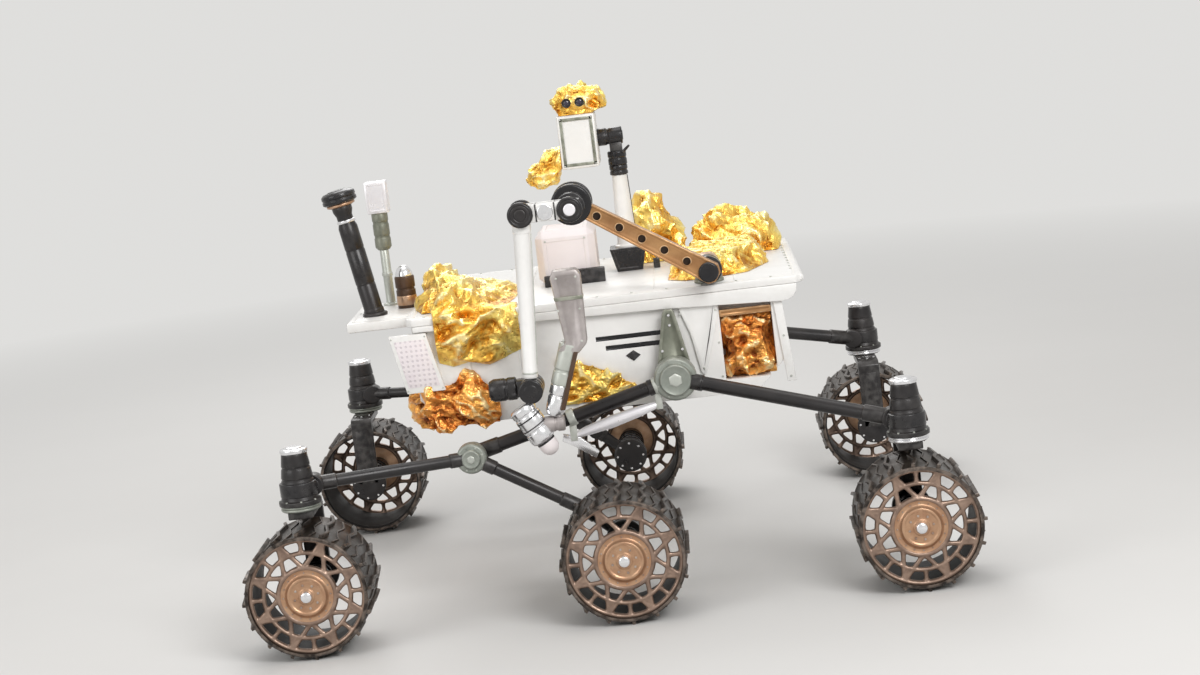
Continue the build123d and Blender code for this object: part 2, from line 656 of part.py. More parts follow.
def rear_nodes():
    """The shelf, the slanted radiator panel on the right side, the antenna and the relay box."""
    write("antenna_shelf", block(SHELF_X, SHELF_Y, (SHELF_Z, SHELF_Z + SHELF_T)))
    outline = [(BODY_X[0] + x, BODY_Z[1] + z) for x, z in RADIATOR]
    write("radiator_panel", side_plate(outline, span(RIGHT, BODY_HALF_W, BODY_HALF_W + RADIATOR_T)))
    write("antenna_can", antenna())
    write("relay_box", relay())


def antenna():
    """The black can antenna, which leans to the rear: foot, post, ring and wide cap."""
    foot = Vector(ANTENNA_X, ANTENNA_Y, SHELF_Z + SHELF_T)
    radius, high = ANTENNA_FOOT
    line = Vector(ANTENNA_LEAN, 0, ANTENNA_H)
    step = line.normalized()
    top = foot + line
    cap = top + step * ANTENNA_RING_H
    parts = [bar(foot, foot + Vector(0, 0, high), radius), bar(foot + step * (high / 2), top, ANTENNA_R)]
    parts += [bar(top, cap, ANTENNA_RING_R), bar(cap, cap + step * ANTENNA_CAP_H, ANTENNA_CAP_R)]
    return fuse(parts)


def relay():
    """The small white box on its cylinder and post."""
    x, y = RELAY_X, RELAY_Y
    low, high = RELAY_DRUM_Z
    post = bar((x, y, SHELF_Z + SHELF_T), (x, y, low), RELAY_POST_R, TUBE_SIDES)
    barrel = bar((x, y, low), (x, y, high), RELAY_DRUM_R)
    half, wide = RELAY_BOX[0] / 2, RELAY_BOX[1] / 2
    box = block((x - half, x + half), (y - wide, y + wide), (high, high + RELAY_BOX[2]))
    return fuse([post, barrel, chamfer(box.edges(), 3)])


def deck_gear_nodes():
    """The white box on the deck and the low black fittings."""
    box = block(GEAR_BOX_X, GEAR_BOX_Y, (DECK_Z, DECK_Z + GEAR_BOX_H))
    write("deck_box", chamfer(box.faces().sort_by(Axis.Z)[-1].edges(), GEAR_BOX_CHAMFER))
    parts = []
    for (x, y), (length, wide, high) in FITTINGS:
        across = (y - wide / 2, y + wide / 2)
        parts.append(block((x - length / 2, x + length / 2), across, (DECK_Z, DECK_Z + high)))
    write("deck_fittings", parts)
    x, y, radius, high = SHELF_DRUM
    foot = SHELF_Z + SHELF_T
    write("shelf_drum", bar((x, y, foot), (x, y, foot + high), radius))


def mast_nodes():
    """The mast with its pan joint and tilt joint."""
    x, y = MAST_X, MAST_Y
    foot = DECK_Z + MAST_FOOT_H
    collar_z = MAST_TOP_Z - MAST_COLLAR_H
    low, high = [half * 2 ** 0.5 for half in MAST_FOOT_HALF]
    base = cone(x, y, DECK_Z, foot, low, high, 4)
    post = cone(x, y, foot, collar_z, MAST_BASE_R, MAST_TOP_R)
    collar = rod((x, y, collar_z), (x, y, MAST_TOP_Z), MAST_COLLAR_R)
    write("mast", fuse([base, post, collar]))
    pan_z = MAST_TOP_Z + SEAT_GAP
    pan = bar((x, y, pan_z), (x, y, pan_z + PAN_H), PAN_R)
    neck = bar((x, y, pan_z + PAN_H), (x, y, TILT_Z), NECK_R, TUBE_SIDES)
    motor = rod((x + TILT_X[0], y, TILT_Z), (x + TILT_X[1], y, TILT_Z), TILT_R)
    write("mast_pan", fuse([pan, neck, motor]))


CAMERA_FOIL = [            # rows of Y from the mast, then X from the box's mast side and Z from its top
    (-38, [(-60, 0), (-70, 14), (-52, 40), (-26, 44), (6, 34), (16, 10), (-4, 0)]),
    (-8, [(-60, 0), (-74, 20), (-56, 46), (-22, 42), (12, 42), (23, 12), (-4, 0)]),
    (32, [(-60, 0), (-66, 16), (-40, 38), (-18, 52), (2, 38), (18, 10), (-4, 0)]),
]
CAMERA_FOIL_LOW = [        # the same, for the bundle at the box's rear lower edge
    (-42, [(-64.2, -86), (-64.2, -60), (-84, -66), (-104, -84), (-112, -102), (-94, -112), (-76, -104)]),
    (-14, [(-64.2, -88), (-64.2, -50), (-90, -58), (-116, -78), (-130, -100), (-108, -124), (-78, -112)]),
    (22, [(-64.2, -86), (-64.2, -56), (-86, -60), (-110, -80), (-120, -104), (-98, -116), (-74, -108)]),
]


def camera_nodes():
    """The camera head: white box, foil wrap and two lenses."""
    x1 = MAST_X + TILT_X[0] - SEAT_GAP
    length, wide, high = CAMERA_BOX
    top = TILT_Z + high / 2
    box = block((x1 - length, x1), (MAST_Y - wide / 2, MAST_Y + wide / 2), (TILT_Z - high / 2, top))
    write("camera_box", chamfer(box.edges(), CAMERA_CHAMFER))
    rows = [(MAST_Y + y, points) for y, points in CAMERA_FOIL]
    low_rows = [(MAST_Y + y, points) for y, points in CAMERA_FOIL_LOW]
    write("camera_foil", [heap(x1, top, rows), heap(x1, top, low_rows)])
    face_y = rows[0][0]
    z = top + LENS_Z
    lenses = [bar((x1 + x, face_y, z), (x1 + x, face_y - LENS_T, z), LENS_R, TUBE_SIDES) for x in LENS_X]
    write("camera_lenses", lenses)


def shoulder_y():
    return -(BODY_HALF_W - SHOULDER_INSET)


def beam_y():
    """Inner and outer face of the upper arm's beam."""
    middle = -(BODY_HALF_W + BEAM_OFFSET)
    return middle + BEAM_T / 2, middle - BEAM_T / 2


def forearm_y():
    return -(BODY_HALF_W + BEAM_OFFSET + FOREARM_OFFSET)


def beam():
    """The tapered beam between the shoulder and the elbow, with its row of holes."""
    length = hypot(ELBOW_X - SHOULDER_X, ELBOW_Z - SHOULDER_Z)
    low, high = BEAM_HALF
    end = length + high
    half = [(-low, -low / 2), (-low / 2, -low), (end - high / 2, -high), (end, -high / 2)]
    points = half + [(x, -z) for x, z in reversed(half)]
    inner, outer = beam_y()
    plate = side_plate(points, (outer, inner))
    first = SHOULDER_DRUM_R + 16
    last = length - ELBOW_DRUM_R - 12
    for i in range(BEAM_HOLES):
        x = first + (last - first) * i / (BEAM_HOLES - 1)
        plate = plate - bar((x, inner + 1, 0), (x, outer - 1, 0), BEAM_HOLE_R, 8)
    turn = -degrees(atan2(ELBOW_Z - SHOULDER_Z, ELBOW_X - SHOULDER_X))
    return Pos(SHOULDER_X, 0, SHOULDER_Z) * Rot(0, turn, 0) * plate


def shoulder_nodes():
    """The pedestal and turntable, and the upper arm with its drums."""
    x, y, z = SHOULDER_X, shoulder_y(), SHOULDER_Z
    pedestal_z = DECK_Z + PEDESTAL_H
    write("arm_pedestal", bar((x, y, DECK_Z), (x, y, pedestal_z), PEDESTAL_R))
    low = pedestal_z + SEAT_GAP
    high = low + TURNTABLE_H
    length, wide, rise = CHEEK
    disc = rod((x, y, low), (x, y, high), TURNTABLE_R)
    cheek = block((x - length / 2, x + length / 2), (y - wide / 2, y + wide / 2), (high, z + rise))
    cheek = chamfer(cheek.edges().filter_by(Axis.Y).group_by(Axis.Z)[-1], length / 4)
    write("arm_turntable", fuse([disc, cheek]))
    write("upper_arm", beam())
    inner, outer = beam_y()
    seat = y - wide / 2 - SEAT_GAP
    drums = [rod((x, seat, z), (x, inner, z), SHOULDER_DRUM_R)]
    drums.append(bar((x, outer, z), (x, outer - SHOULDER_CAP_T, z), BEAM_HALF[0] - 1))
    ex, ez = ELBOW_X, ELBOW_Z
    drums.append(bar((ex, inner, ez), (ex, inner + ELBOW_DRUM_T[0], ez), ELBOW_DRUM_R))
    drums.append(bar((ex, outer, ez), (ex, outer - ELBOW_DRUM_T[1], ez), ELBOW_DRUM_R))
    write("upper_arm_drums", drums)


def forearm_nodes():
    """The forearm with its link, and its black drums."""
    x, y, ez = FOREARM_X, forearm_y(), ELBOW_Z
    inner, outer = y + LINK_T / 2, y - LINK_T / 2
    half = LINK_HALF_H
    cut = half / 2
    lower = [(x - half, -cut), (x - cut, -half), (ELBOW_X + cut, -half), (ELBOW_X + half, -cut)]
    points = lower + [(px, -pz) for px, pz in reversed(lower)]
    link = side_plate([(px, ez + pz) for px, pz in points], (outer, inner))
    line = Vector(x - WRIST_X, 0, ez - WRIST_Z)
    foot = Vector(WRIST_X, y, WRIST_Z) + line.normalized() * (WRIST_R + SEAT_GAP)
    write("forearm", fuse([link, taper(foot, (x, y, ez), *FOREARM_R, TUBE_SIDES)]))
    hub_y = beam_y()[1] - ELBOW_DRUM_T[1] - SEAT_GAP
    drums = [rod((ELBOW_X, hub_y, ez), (ELBOW_X, inner, ez), FOREARM_HUB_R)]
    for cx in (ELBOW_X, x):
        drums.append(bar((cx, outer, ez), (cx, outer - FOREARM_CAP_T, ez), FOREARM_CAP_R))
    drums.append(bar((x, inner, ez), (x, inner + FOREARM_CAP_T, ez), FOREARM_CAP_R))
    write("forearm_drums", drums)


def turret_nodes():
    """The wrist with the turret's slanted cylinder, the tools on it and the drill beside the forearm."""
    x, y, z = WRIST_X, forearm_y(), WRIST_Z
    outboard, inboard = WRIST_Y
    wrist = rod((x, y - outboard, z), (x, y + inboard, z), WRIST_R)
    reach, half, high = WRIST_BLOCK
    mid = y + inboard - half
    seat = block((x - reach, x), (mid - half, mid + half), (z - high, z + high))
    silver = bar(*[(x + dx, y, z + dz) for dx, dz in SILVER], SILVER_R)
    end, drop, radius = STUB
    stub = bar((x, y, z + drop), (x + end, y, z + drop), radius, TUBE_SIDES)
    write("tool_turret", fuse([wrist, seat, silver, stub]))
    dark = bar((x - reach, mid, z), (x - DARK_END, mid, z), DARK_R)
    pale = bar(*[(x + dx, y, z + dz) for dx, dz in PALE_END], PALE_R)
    write("turret_tools", [dark, pale])
    left, right = DRILL_FOOT
    foot_z = z + drop + radius * cos(pi / TUBE_SIDES)
    points = [(x + left, foot_z)] + [(x + dx, z + dz) for dx, dz in DRILL] + [(x + right, foot_z)]
    write("turret_drill", side_plate(points, (y - DRILL_T / 2, y + DRILL_T / 2)))


def build():
    os.makedirs("parts", exist_ok=True)
    wheel_nodes()
    knuckle_nodes()
    suspension_nodes()
    write("body_shell", body_shell())
    write("deck", deck())
    write("deck_rails", deck_rails())
    write("side_panels", side_panels())
    write("bay_bars", bay_bars())
    foil_nodes()
    rear_nodes()
    deck_gear_nodes()
    mast_nodes()
    camera_nodes()
    shoulder_nodes()
    forearm_nodes()
    turret_nodes()


build()
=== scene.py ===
"""The looks of a six-wheeled Mars rover display model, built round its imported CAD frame.
Lengths are in millimetres, as in the CAD source, but the settings, the foil and the stage are
in metres."""
import json
from math import atan2, cos, hypot, pi, radians, sin, tanh

import bpy
from mathutils import Matrix, Vector, noise


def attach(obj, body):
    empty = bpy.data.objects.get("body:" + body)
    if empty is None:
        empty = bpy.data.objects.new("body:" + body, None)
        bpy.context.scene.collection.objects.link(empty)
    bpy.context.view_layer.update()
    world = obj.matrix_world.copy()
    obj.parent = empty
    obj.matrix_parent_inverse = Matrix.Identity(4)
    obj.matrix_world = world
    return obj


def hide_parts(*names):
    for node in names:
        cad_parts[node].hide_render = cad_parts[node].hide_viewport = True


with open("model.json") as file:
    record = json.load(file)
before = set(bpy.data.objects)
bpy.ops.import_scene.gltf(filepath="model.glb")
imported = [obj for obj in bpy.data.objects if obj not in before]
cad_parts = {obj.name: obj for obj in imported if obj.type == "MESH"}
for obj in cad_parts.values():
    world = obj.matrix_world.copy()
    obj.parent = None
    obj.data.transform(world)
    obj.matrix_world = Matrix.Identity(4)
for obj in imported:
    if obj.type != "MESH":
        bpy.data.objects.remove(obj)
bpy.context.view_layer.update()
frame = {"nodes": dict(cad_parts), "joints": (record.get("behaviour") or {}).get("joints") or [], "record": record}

bl_info = {
    "name": "Mars rover display model",
    "version": (1, 0, 0),
    "blender": (4, 5, 0),
    "location": "3D View > Sidebar > Rover",
    "description": "Builds the rover's wheels, legs, body, foil, mast and arm over its CAD frame",
    "category": "Object",
}

MM = 0.001
BODY_TOP = 462                    # the upper face of the body and of the rear shelf
DECK_TOP = 475                    # where what stands on the deck starts
SIDE = 255                        # the body's half width
JOINTS = {joint["name"]: Vector([round(at / MM, 3) for at in joint["pos_m"]]) for joint in frame["joints"]}
BODIES = {node: body for body, nodes in frame["record"]["behaviour"]["bodies"].items() for node in nodes}

# Out is out of the rover's right side, which is modelled first.
UP, OUT, IN, AHEAD, BACK = (Vector(way) for way in ((0, 0, 1), (0, -1, 0), (0, 1, 0), (1, 0, 0), (-1, 0, 0)))
WALLS = (OUT, AHEAD, BACK, IN)
MIRROR = Matrix.Scale(-1, 4, IN)
FOLD_SEED = 5                     # the noise that bends the foil's folds starts from this


# Sizes and colours a user would change

def size(name, text, value):
    """A size setting."""
    return bpy.props.FloatProperty(name=name, description=text, default=value, unit="LENGTH")


def colour(name, text, value):
    """A colour setting."""
    return bpy.props.FloatVectorProperty(name=name, description=text, subtype="COLOR", min=0, max=1,
                                         default=value)


class RoverSizes(bpy.types.PropertyGroup):
    edge: size("Edge rounding", "Width of the rounding on machined edges", 0.0012)
    fold: size("Foil fold depth", "Depth of the largest folds in the foil bundles", 0.020)
    weave: size("Foil mesh size", "Size of the faces that the foil is creased in", 0.0021)
    strut: size("Wheel strut radius", "Half thickness of the struts in a wheel's face", 0.0038)
    lug_width: size("Lug width", "Width of a lug round the wheel", 0.0055)


class RoverColours(bpy.types.PropertyGroup):
    white: colour("White paint", "Body, deck and panels", (0.86, 0.85, 0.83))
    panel: colour("Panel white", "Radiator, shelf and deck box", (0.84, 0.78, 0.78))
    gold: colour("Gold foil", "Ridges of the gold foil", (1.00, 0.78, 0.22))
    # The fold colours below are painted shade for the foil's hollows.
    gold_fold_shade: colour("Gold foil fold shade", "Painted shade in the gold foil's hollows", (0.56, 0.24, 0.02))
    amber: colour("Orange foil", "Ridges of the orange-brown foil", (0.95, 0.46, 0.11))
    amber_fold_shade: colour("Orange foil fold shade", "Painted shade in the orange-brown foil's hollows", (0.24, 0.06, 0.012))
    tube: colour("Black tube", "Legs, cans and arm drums", (0.014, 0.013, 0.014))
    tread: colour("Wheel metal", "Wheel drums and lugs", (0.020, 0.016, 0.014))
    grey: colour("Grey metal", "Pivot caps, brackets and tools", (0.34, 0.36, 0.32))
    bronze: colour("Bronze paint", "Upper arm and bay bars", (0.50, 0.27, 0.11))


def sizes():
    return bpy.context.scene.rover_sizes


# Making pieces

def metres(place):
    """A place in millimetres as Blender's metres."""
    return Vector([at / 1000 for at in place])


def select(*pieces):
    """Selects only these pieces and makes the first one active."""
    bpy.ops.object.select_all(action="DESELECT")
    for piece in pieces:
        piece.select_set(True)
    if pieces:
        bpy.context.view_layer.objects.active = pieces[0]


def modify(piece, kind, **values):
    """Puts a modifier on a piece and applies it."""
    select(piece)
    modifier = piece.modifiers.new(kind.title(), kind)
    for key, value in values.items():
        setattr(modifier, key, value)
    bpy.ops.object.modifier_apply(modifier=modifier.name)


def smooth(piece, angle=34):
    """Shades a piece smooth over all but its sharp edges."""
    select(piece)
    bpy.ops.object.shade_smooth_by_angle(angle=radians(angle))
    return piece


def rounded(piece, width, angle=32):
    """Rounds a piece's sharp edges and shades it."""
    if width:
        modify(piece, "BEVEL", width=width * MM, segments=2, limit_method="ANGLE", angle_limit=radians(angle))
    return smooth(piece)


def covered(piece, material):
    """Gives a piece its material."""
    piece.data.materials.clear()
    piece.data.materials.append(bpy.data.materials[material])
    return piece


def finished(piece, material, edge=None):
    """Rounds a piece's sharp edges, shades it and gives it its material."""
    return covered(rounded(piece, sizes().edge / MM if edge is None else edge), material)


def edit_all(mode="FACE"):
    """Opens the active piece in edit mode with all of it selected."""
    bpy.ops.object.mode_set(mode="EDIT")
    bpy.ops.mesh.select_mode(type=mode)
    bpy.ops.mesh.select_all(action="SELECT")


def outwards():
    """Makes the faces of the piece in edit mode look outwards and leaves edit mode."""
    bpy.ops.mesh.select_all(action="SELECT")
    bpy.ops.mesh.normals_make_consistent(inside=False)
    bpy.ops.object.mode_set(mode="OBJECT")


def turned(material, start, line, *steps, sides=40, edge=0.6, hollow=False):
    """A turned piece: a disc extruded and resized through steps of distance and radius, from its
    start along a line. A hollow piece's steps go all round its wall."""
    select()
    at, radius = steps[0]
    fill = "NOTHING" if hollow else "NGON"
    bpy.ops.mesh.primitive_circle_add(vertices=sides, radius=radius * MM, fill_type=fill)
    piece = bpy.context.object
    edit_all("EDGE" if hollow else "FACE")
    bpy.ops.transform.translate(value=(0, 0, at * MM))
    for next_at, next_radius in steps[1:] + (steps[:1] if hollow else ()):
        bpy.ops.mesh.extrude_region_move(TRANSFORM_OT_translate={"value": (0, 0, (next_at - at) * MM)})
        if next_radius != radius:
            k = next_radius / radius
            bpy.ops.transform.resize(value=(k, k, 1), center_override=(0, 0, next_at * MM))
        at, radius = next_at, next_radius
    if hollow:
        bpy.ops.mesh.select_all(action="SELECT")
        bpy.ops.mesh.remove_doubles(threshold=0.01 * MM)
    outwards()
    turn = Vector(line).to_track_quat("Z", "Y").to_matrix().to_4x4()
    piece.data.transform(Matrix.Translation(metres(start)) @ turn)
    return finished(piece, material, edge)


def groove(start, end, radius, low):
    """Steps down into a groove, along it and out of it again. A low over the radius makes a band."""
    return (start, radius), (start + 1, low), (end - 1, low), (end, radius)


def plate(material, points, push, edge=None):
    """A plate: a filled outline with its corners at the points, extruded along push."""
    select()
    bpy.ops.mesh.primitive_circle_add(vertices=len(points), radius=1, fill_type="NGON")
    piece = bpy.context.object
    for vertex, point in zip(piece.data.vertices, points):
        vertex.co = metres(point)
    edit_all()
    bpy.ops.mesh.extrude_region_move(TRANSFORM_OT_translate={"value": tuple(metres(push))})
    outwards()
    return finished(piece, material, edge)


def side_plate(material, outline, y, thick, edge=None):
    """A plate with its outline in X and Z, from y towards the rover's right."""
    return plate(material, [(x, y, z) for x, z in outline], (0, -thick, 0), edge)


def block(material, low, high, edge=None):
    """A block between two corners."""
    low, high = metres(low), metres(high)
    select()
    bpy.ops.mesh.primitive_cube_add(size=1)
    piece = bpy.context.object
    piece.data.transform(Matrix.Translation((low + high) / 2) @ Matrix.Diagonal((*(high - low), 1)))
    return finished(piece, material, edge)


def inset(piece, ways, *rows):
    """Insets the flat faces that look each way, once for each row of width and depth."""
    for way in ways:
        select(piece)
        for face in piece.data.polygons:
            face.select = face.normal.dot(way) > 0.96
        bpy.ops.object.mode_set(mode="EDIT")
        bpy.ops.mesh.select_mode(type="FACE")
        for width, depth in rows:
            bpy.ops.mesh.inset(thickness=width * MM, depth=depth * MM)
        bpy.ops.mesh.select_all(action="DESELECT")
        bpy.ops.object.mode_set(mode="OBJECT")
    return piece


def moved(piece, matrix):
    """A copy of a piece with its own mesh, moved by a matrix."""
    twin = piece.copy()
    twin.data = piece.data.copy()
    bpy.context.collection.objects.link(twin)
    twin.data.transform(matrix)
    if matrix.determinant() < 0:
        twin.data.flip_normals()
    return twin


def bolts(places, way, radius, high, material="Pale grey"):
    """Small six-sided bolt heads that stand on the places and look one way."""
    steps = (-1, radius), (high * 0.7, radius), (high, radius * 0.75)
    head = turned(material, (0, 0, 0), way, *steps, sides=6, edge=0)
    heads = [moved(head, Matrix.Translation(metres(place))) for place in places]
    bpy.data.objects.remove(head)
    return heads


def circle(middle, radius, count, axis="Y", turn=0.0):
    """Places on a circle about an axis."""
    places = []
    for i in range(count):
        a = 2 * pi * i / count + turn
        u, v = radius * cos(a), radius * sin(a)
        offset = (u, 0, v) if axis == "Y" else (u, v, 0)
        places.append([at + away for at, away in zip(middle, offset)])
    return places


def joined(parts):
    """One piece from many."""
    select(*parts)
    if len(parts) > 1:
        bpy.ops.object.join()
    return bpy.context.object


def mirrored(parts):
    """The parts joined, and their mirrored twin on the rover's left."""
    right = joined(parts)
    return [right, moved(right, MIRROR)]


def ready(name, parts, node=None, body="chassis"):
    """Joins parts into a named piece that stands for a CAD node, rides on the node's body and hides the node.
    Without a node it rides on the body that is given."""
    piece = joined(parts)
    piece.name = piece.data.name = name
    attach(piece, BODIES.get(node, body))
    if node:
        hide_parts(node)


def both_sides(name, parts, node):
    """The right-hand piece and its mirrored twin, for nodes that end in the side's name."""
    for piece, side in zip(mirrored(parts), ("right", "left")):
        ready(f"{name}_{side}", [piece], f"{node}_{side}")


# Materials

def feed(tree, node, inputs):
    """Links or sets a node's inputs."""
    for key, value in inputs.items():
        if isinstance(value, bpy.types.NodeSocket):
            tree.links.new(value, node.inputs[key])
        else:
            node.inputs[key].default_value = value
    return node


def add(tree, kind, inputs, **settings):
    """A shader node with its settings and inputs."""
    node = tree.nodes.new("ShaderNode" + kind)
    for key, value in settings.items():
        setattr(node, key, value)
    return feed(tree, node, inputs)


def place_in(tree):
    return add(tree, "TexCoord", {}).outputs["Object"]


def spread(tree, value, low, high, to_low=0.0, to_high=1.0):
    """A value stretched from one range to another."""
    return add(tree, "MapRange", {0: value, 1: low, 2: high, 3: to_low, 4: to_high}).outputs[0]


def number(tree, operation, a, b):
    return add(tree, "Math", {0: a, 1: b}, operation=operation).outputs[0]


def vector(tree, operation, a, b):
    return add(tree, "VectorMath", {0: a, 1: b}, operation=operation).outputs[0]


def mixed(tree, fac, a, b):
    """Two colours mixed, each given as a socket or as red, green and blue."""
    a, b = (tone if isinstance(tone, bpy.types.NodeSocket) else (*tone, 1.0) for tone in (a, b))
    return add(tree, "Mix", {0: fac, 6: a, 7: b}, data_type="RGBA").outputs[2]


def cloud(tree, scale, detail, rough=0.5):
    inputs = {"Vector": place_in(tree), "Scale": scale, "Detail": detail, "Roughness": rough}
    return add(tree, "TexNoise", inputs).outputs[0]


def bump(tree, height, strength, distance):
    return add(tree, "Bump", {"Strength": strength, "Distance": distance, "Height": height}).outputs[0]


def effect(name, inputs, **outputs):
    """An empty shader node group: its tree, its input sockets and its output node."""
    tree = bpy.data.node_groups.new(name, "ShaderNodeTree")
    for label, value in inputs.items():
        tree.interface.new_socket(label, in_out="INPUT", socket_type="NodeSocketFloat").default_value = value
    for label, kind in outputs.items():
        tree.interface.new_socket(label, in_out="OUTPUT", socket_type="NodeSocket" + kind)
    given = tree.nodes.new("NodeGroupInput").outputs[:len(inputs)]
    return tree, given, tree.nodes.new("NodeGroupOutput")


def build_effects():
    """The effects that several materials share."""
    tree, (scale, contrast), out = effect("Mottling", {"Scale": 20.0, "Contrast": 0.15}, Mask="Float")
    low, high = (number(tree, sign, 0.5, contrast) for sign in ("SUBTRACT", "ADD"))
    feed(tree, out, {0: spread(tree, cloud(tree, scale, 6.0, 0.62), low, high)})

    tree, (amount,), out = effect("Rubbed edges", {"Amount": 0.5}, Mask="Float")
    sharp = spread(tree, add(tree, "NewGeometry", {}).outputs["Pointiness"], 0.52, 0.60)
    worn = number(tree, "MULTIPLY", sharp, spread(tree, cloud(tree, 90.0, 4.0), 0.38, 0.62))
    feed(tree, out, {0: number(tree, "MULTIPLY", worn, amount)})

    tree, (scale, strength), out = effect("Surface grain", {"Scale": 400.0, "Strength": 0.1}, Normal="Vector")
    feed(tree, out, {0: bump(tree, cloud(tree, scale, 3.0), strength, 0.001)})

    # Upward faces turn warm brown: partly settled dust, partly a painted warm sheen that stands for light
    # reflected from above.
    tree, (amount,), out = effect("Dust and warm sheen", {"Amount": 0.2}, Mask="Float")
    facing = add(tree, "SeparateXYZ", {0: add(tree, "NewGeometry", {}).outputs["Normal"]}).outputs[2]
    dust_and_sheen_on_tops = spread(tree, facing, 0.2, 1.0, 0.15)
    dust_and_sheen_on_tops = number(tree, "MULTIPLY", dust_and_sheen_on_tops, spread(tree, cloud(tree, 14.0, 7.0), 0.35, 0.7))
    feed(tree, out, {0: number(tree, "MULTIPLY", dust_and_sheen_on_tops, amount)})

    tree, (scale, strength), out = effect("Foil creases", {"Scale": 70.0, "Strength": 0.5}, Mask="Float",
                                          Normal="Vector")
    place = place_in(tree)
    wander = add(tree, "TexNoise", {"Vector": place, "Scale": 30.0, "Detail": 2.0}).outputs[1]
    bent = vector(tree, "ADD", vector(tree, "MULTIPLY", wander, (0.02, 0.02, 0.02)), place)
    wide, fine = (add(tree, "TexVoronoi", {"Vector": bent, "Scale": k},
                      distance="MANHATTAN").outputs["Distance"]
                  for k in (scale, number(tree, "MULTIPLY", scale, 2.9)))
    height = number(tree, "ADD", wide, number(tree, "MULTIPLY", fine, 0.35))
    feed(tree, out, {0: wide, 1: bump(tree, height, strength, 0.004)})


def placed(tree, name, **values):
    """The outputs of an effect placed in a material with its own values."""
    node = add(tree, "Group", {}, node_tree=bpy.data.node_groups[name])
    return feed(tree, node, values).outputs


def blank(name):
    """A new material's node tree and its shader."""
    material = bpy.data.materials.new(name)
    material.use_nodes = True
    return material.node_tree, material.node_tree.nodes["Principled BSDF"]


def coated(name, base, stain, rough, metal, mottle, grain, rub, rubbed, dust_and_sheen):
    """A painted or metal finish: mottled colour, rubbed edges, dust and a painted warm sheen on upward faces, and
    fine grain.
    """
    tree, shader = blank(name)
    clouds = placed(tree, "Mottling", Scale=mottle[0], Contrast=mottle[1])[0]
    tone = mixed(tree, clouds, base, stain)
    if rub:
        tone = mixed(tree, placed(tree, "Rubbed edges", Amount=rubbed)[0], tone, rub)
    # Warm brown on upward faces: dust, and also a painted sheen for the warm light from above.
    tone = mixed(tree, placed(tree, "Dust and warm sheen", Amount=dust_and_sheen)[0], tone, (0.46, 0.33, 0.24))
    feed(tree, shader,
         {"Base Color": tone, "Roughness": spread(tree, clouds, 0.0, 1.0, *rough), "Metallic": metal,
                        "Normal": placed(tree, "Surface grain", Scale=grain[0], Strength=grain[1])[0]})


def foil_finish(name, ridge_tone, hollow, heart, scale, strength):
    """Crumpled metallised film: a near-white painted highlight on the highest ridges, a darker painted shade in
    the folds, and a warmer heart to each bundle.
    """
    tree, shader = blank(name)
    fold, glow = (add(tree, "Attribute", {}, attribute_name=key).outputs["Fac"] for key in ("fold", "heart"))
    creases = placed(tree, "Foil creases", Scale=scale, Strength=strength)
    clouds = placed(tree, "Mottling", Scale=11.0, Contrast=0.07)[0]
    # Low values lie in the folds' hollows, which darken to the hollow colour as painted shade.
    depth = number(tree, "ADD", number(tree, "MULTIPLY", creases[0], 0.35), fold)
    warm = number(tree, "MAXIMUM", number(tree, "MULTIPLY", clouds, 0.60),
                  spread(tree, glow, 0.0, 1.0, 0.0, 0.92))
    tone = mixed(tree, warm, ridge_tone, heart)
    tone = mixed(tree, spread(tree, depth, 0.36, 0.84), hollow, tone)
    # The highest ridges turn near white: a painted highlight.
    tone = mixed(tree, spread(tree, depth, 1.00, 1.20, 0.0, 0.6), tone, (1.0, 0.90, 0.52))
    feed(tree, shader, {"Base Color": tone, "Roughness": spread(tree, creases[0], 0.1, 0.9, 0.22, 0.36),
                        "Normal": creases[1], "Metallic": 0.85})


def dotted_finish(name, base):
    """Radiator face: rows of small dimples in satin white, 8 mm apart."""
    tree, shader = blank(name)
    grid = vector(tree, "MODULO", vector(tree, "ADD", place_in(tree), (1.3, 10.0, 1.3)), (0.008, 1.0, 0.008))
    flat = vector(tree, "MULTIPLY", vector(tree, "SUBTRACT", grid, (0.004, 0.0, 0.004)), (1.0, 0.0, 1.0))
    length = add(tree, "VectorMath", {0: flat}, operation="LENGTH").outputs["Value"]
    dot = spread(tree, length, 0.0016, 0.0024, 1.0, 0.0)
    clouds = placed(tree, "Mottling", Scale=24.0, Contrast=0.2)[0]
    tone = mixed(tree, dot, mixed(tree, clouds, base, (0.80, 0.72, 0.75)), (0.66, 0.60, 0.62))
    feed(tree, shader, {"Base Color": tone, "Roughness": spread(tree, clouds, 0.0, 1.0, 0.35, 0.5),
                        "Normal": bump(tree, number(tree, "SUBTRACT", 1.0, dot), 0.5, 0.0012)})


def glass_finish(name):
    """Dark coated lens glass."""
    tree, shader = blank(name)
    clouds = placed(tree, "Mottling", Scale=60.0, Contrast=0.2)[0]
    tone = mixed(tree, clouds, (0.010, 0.012, 0.030), (0.030, 0.010, 0.040))
    feed(tree, shader, {"Base Color": tone, "Roughness": spread(tree, clouds, 0.0, 1.0, 0.03, 0.08),
                        "Coat Weight": 1.0})


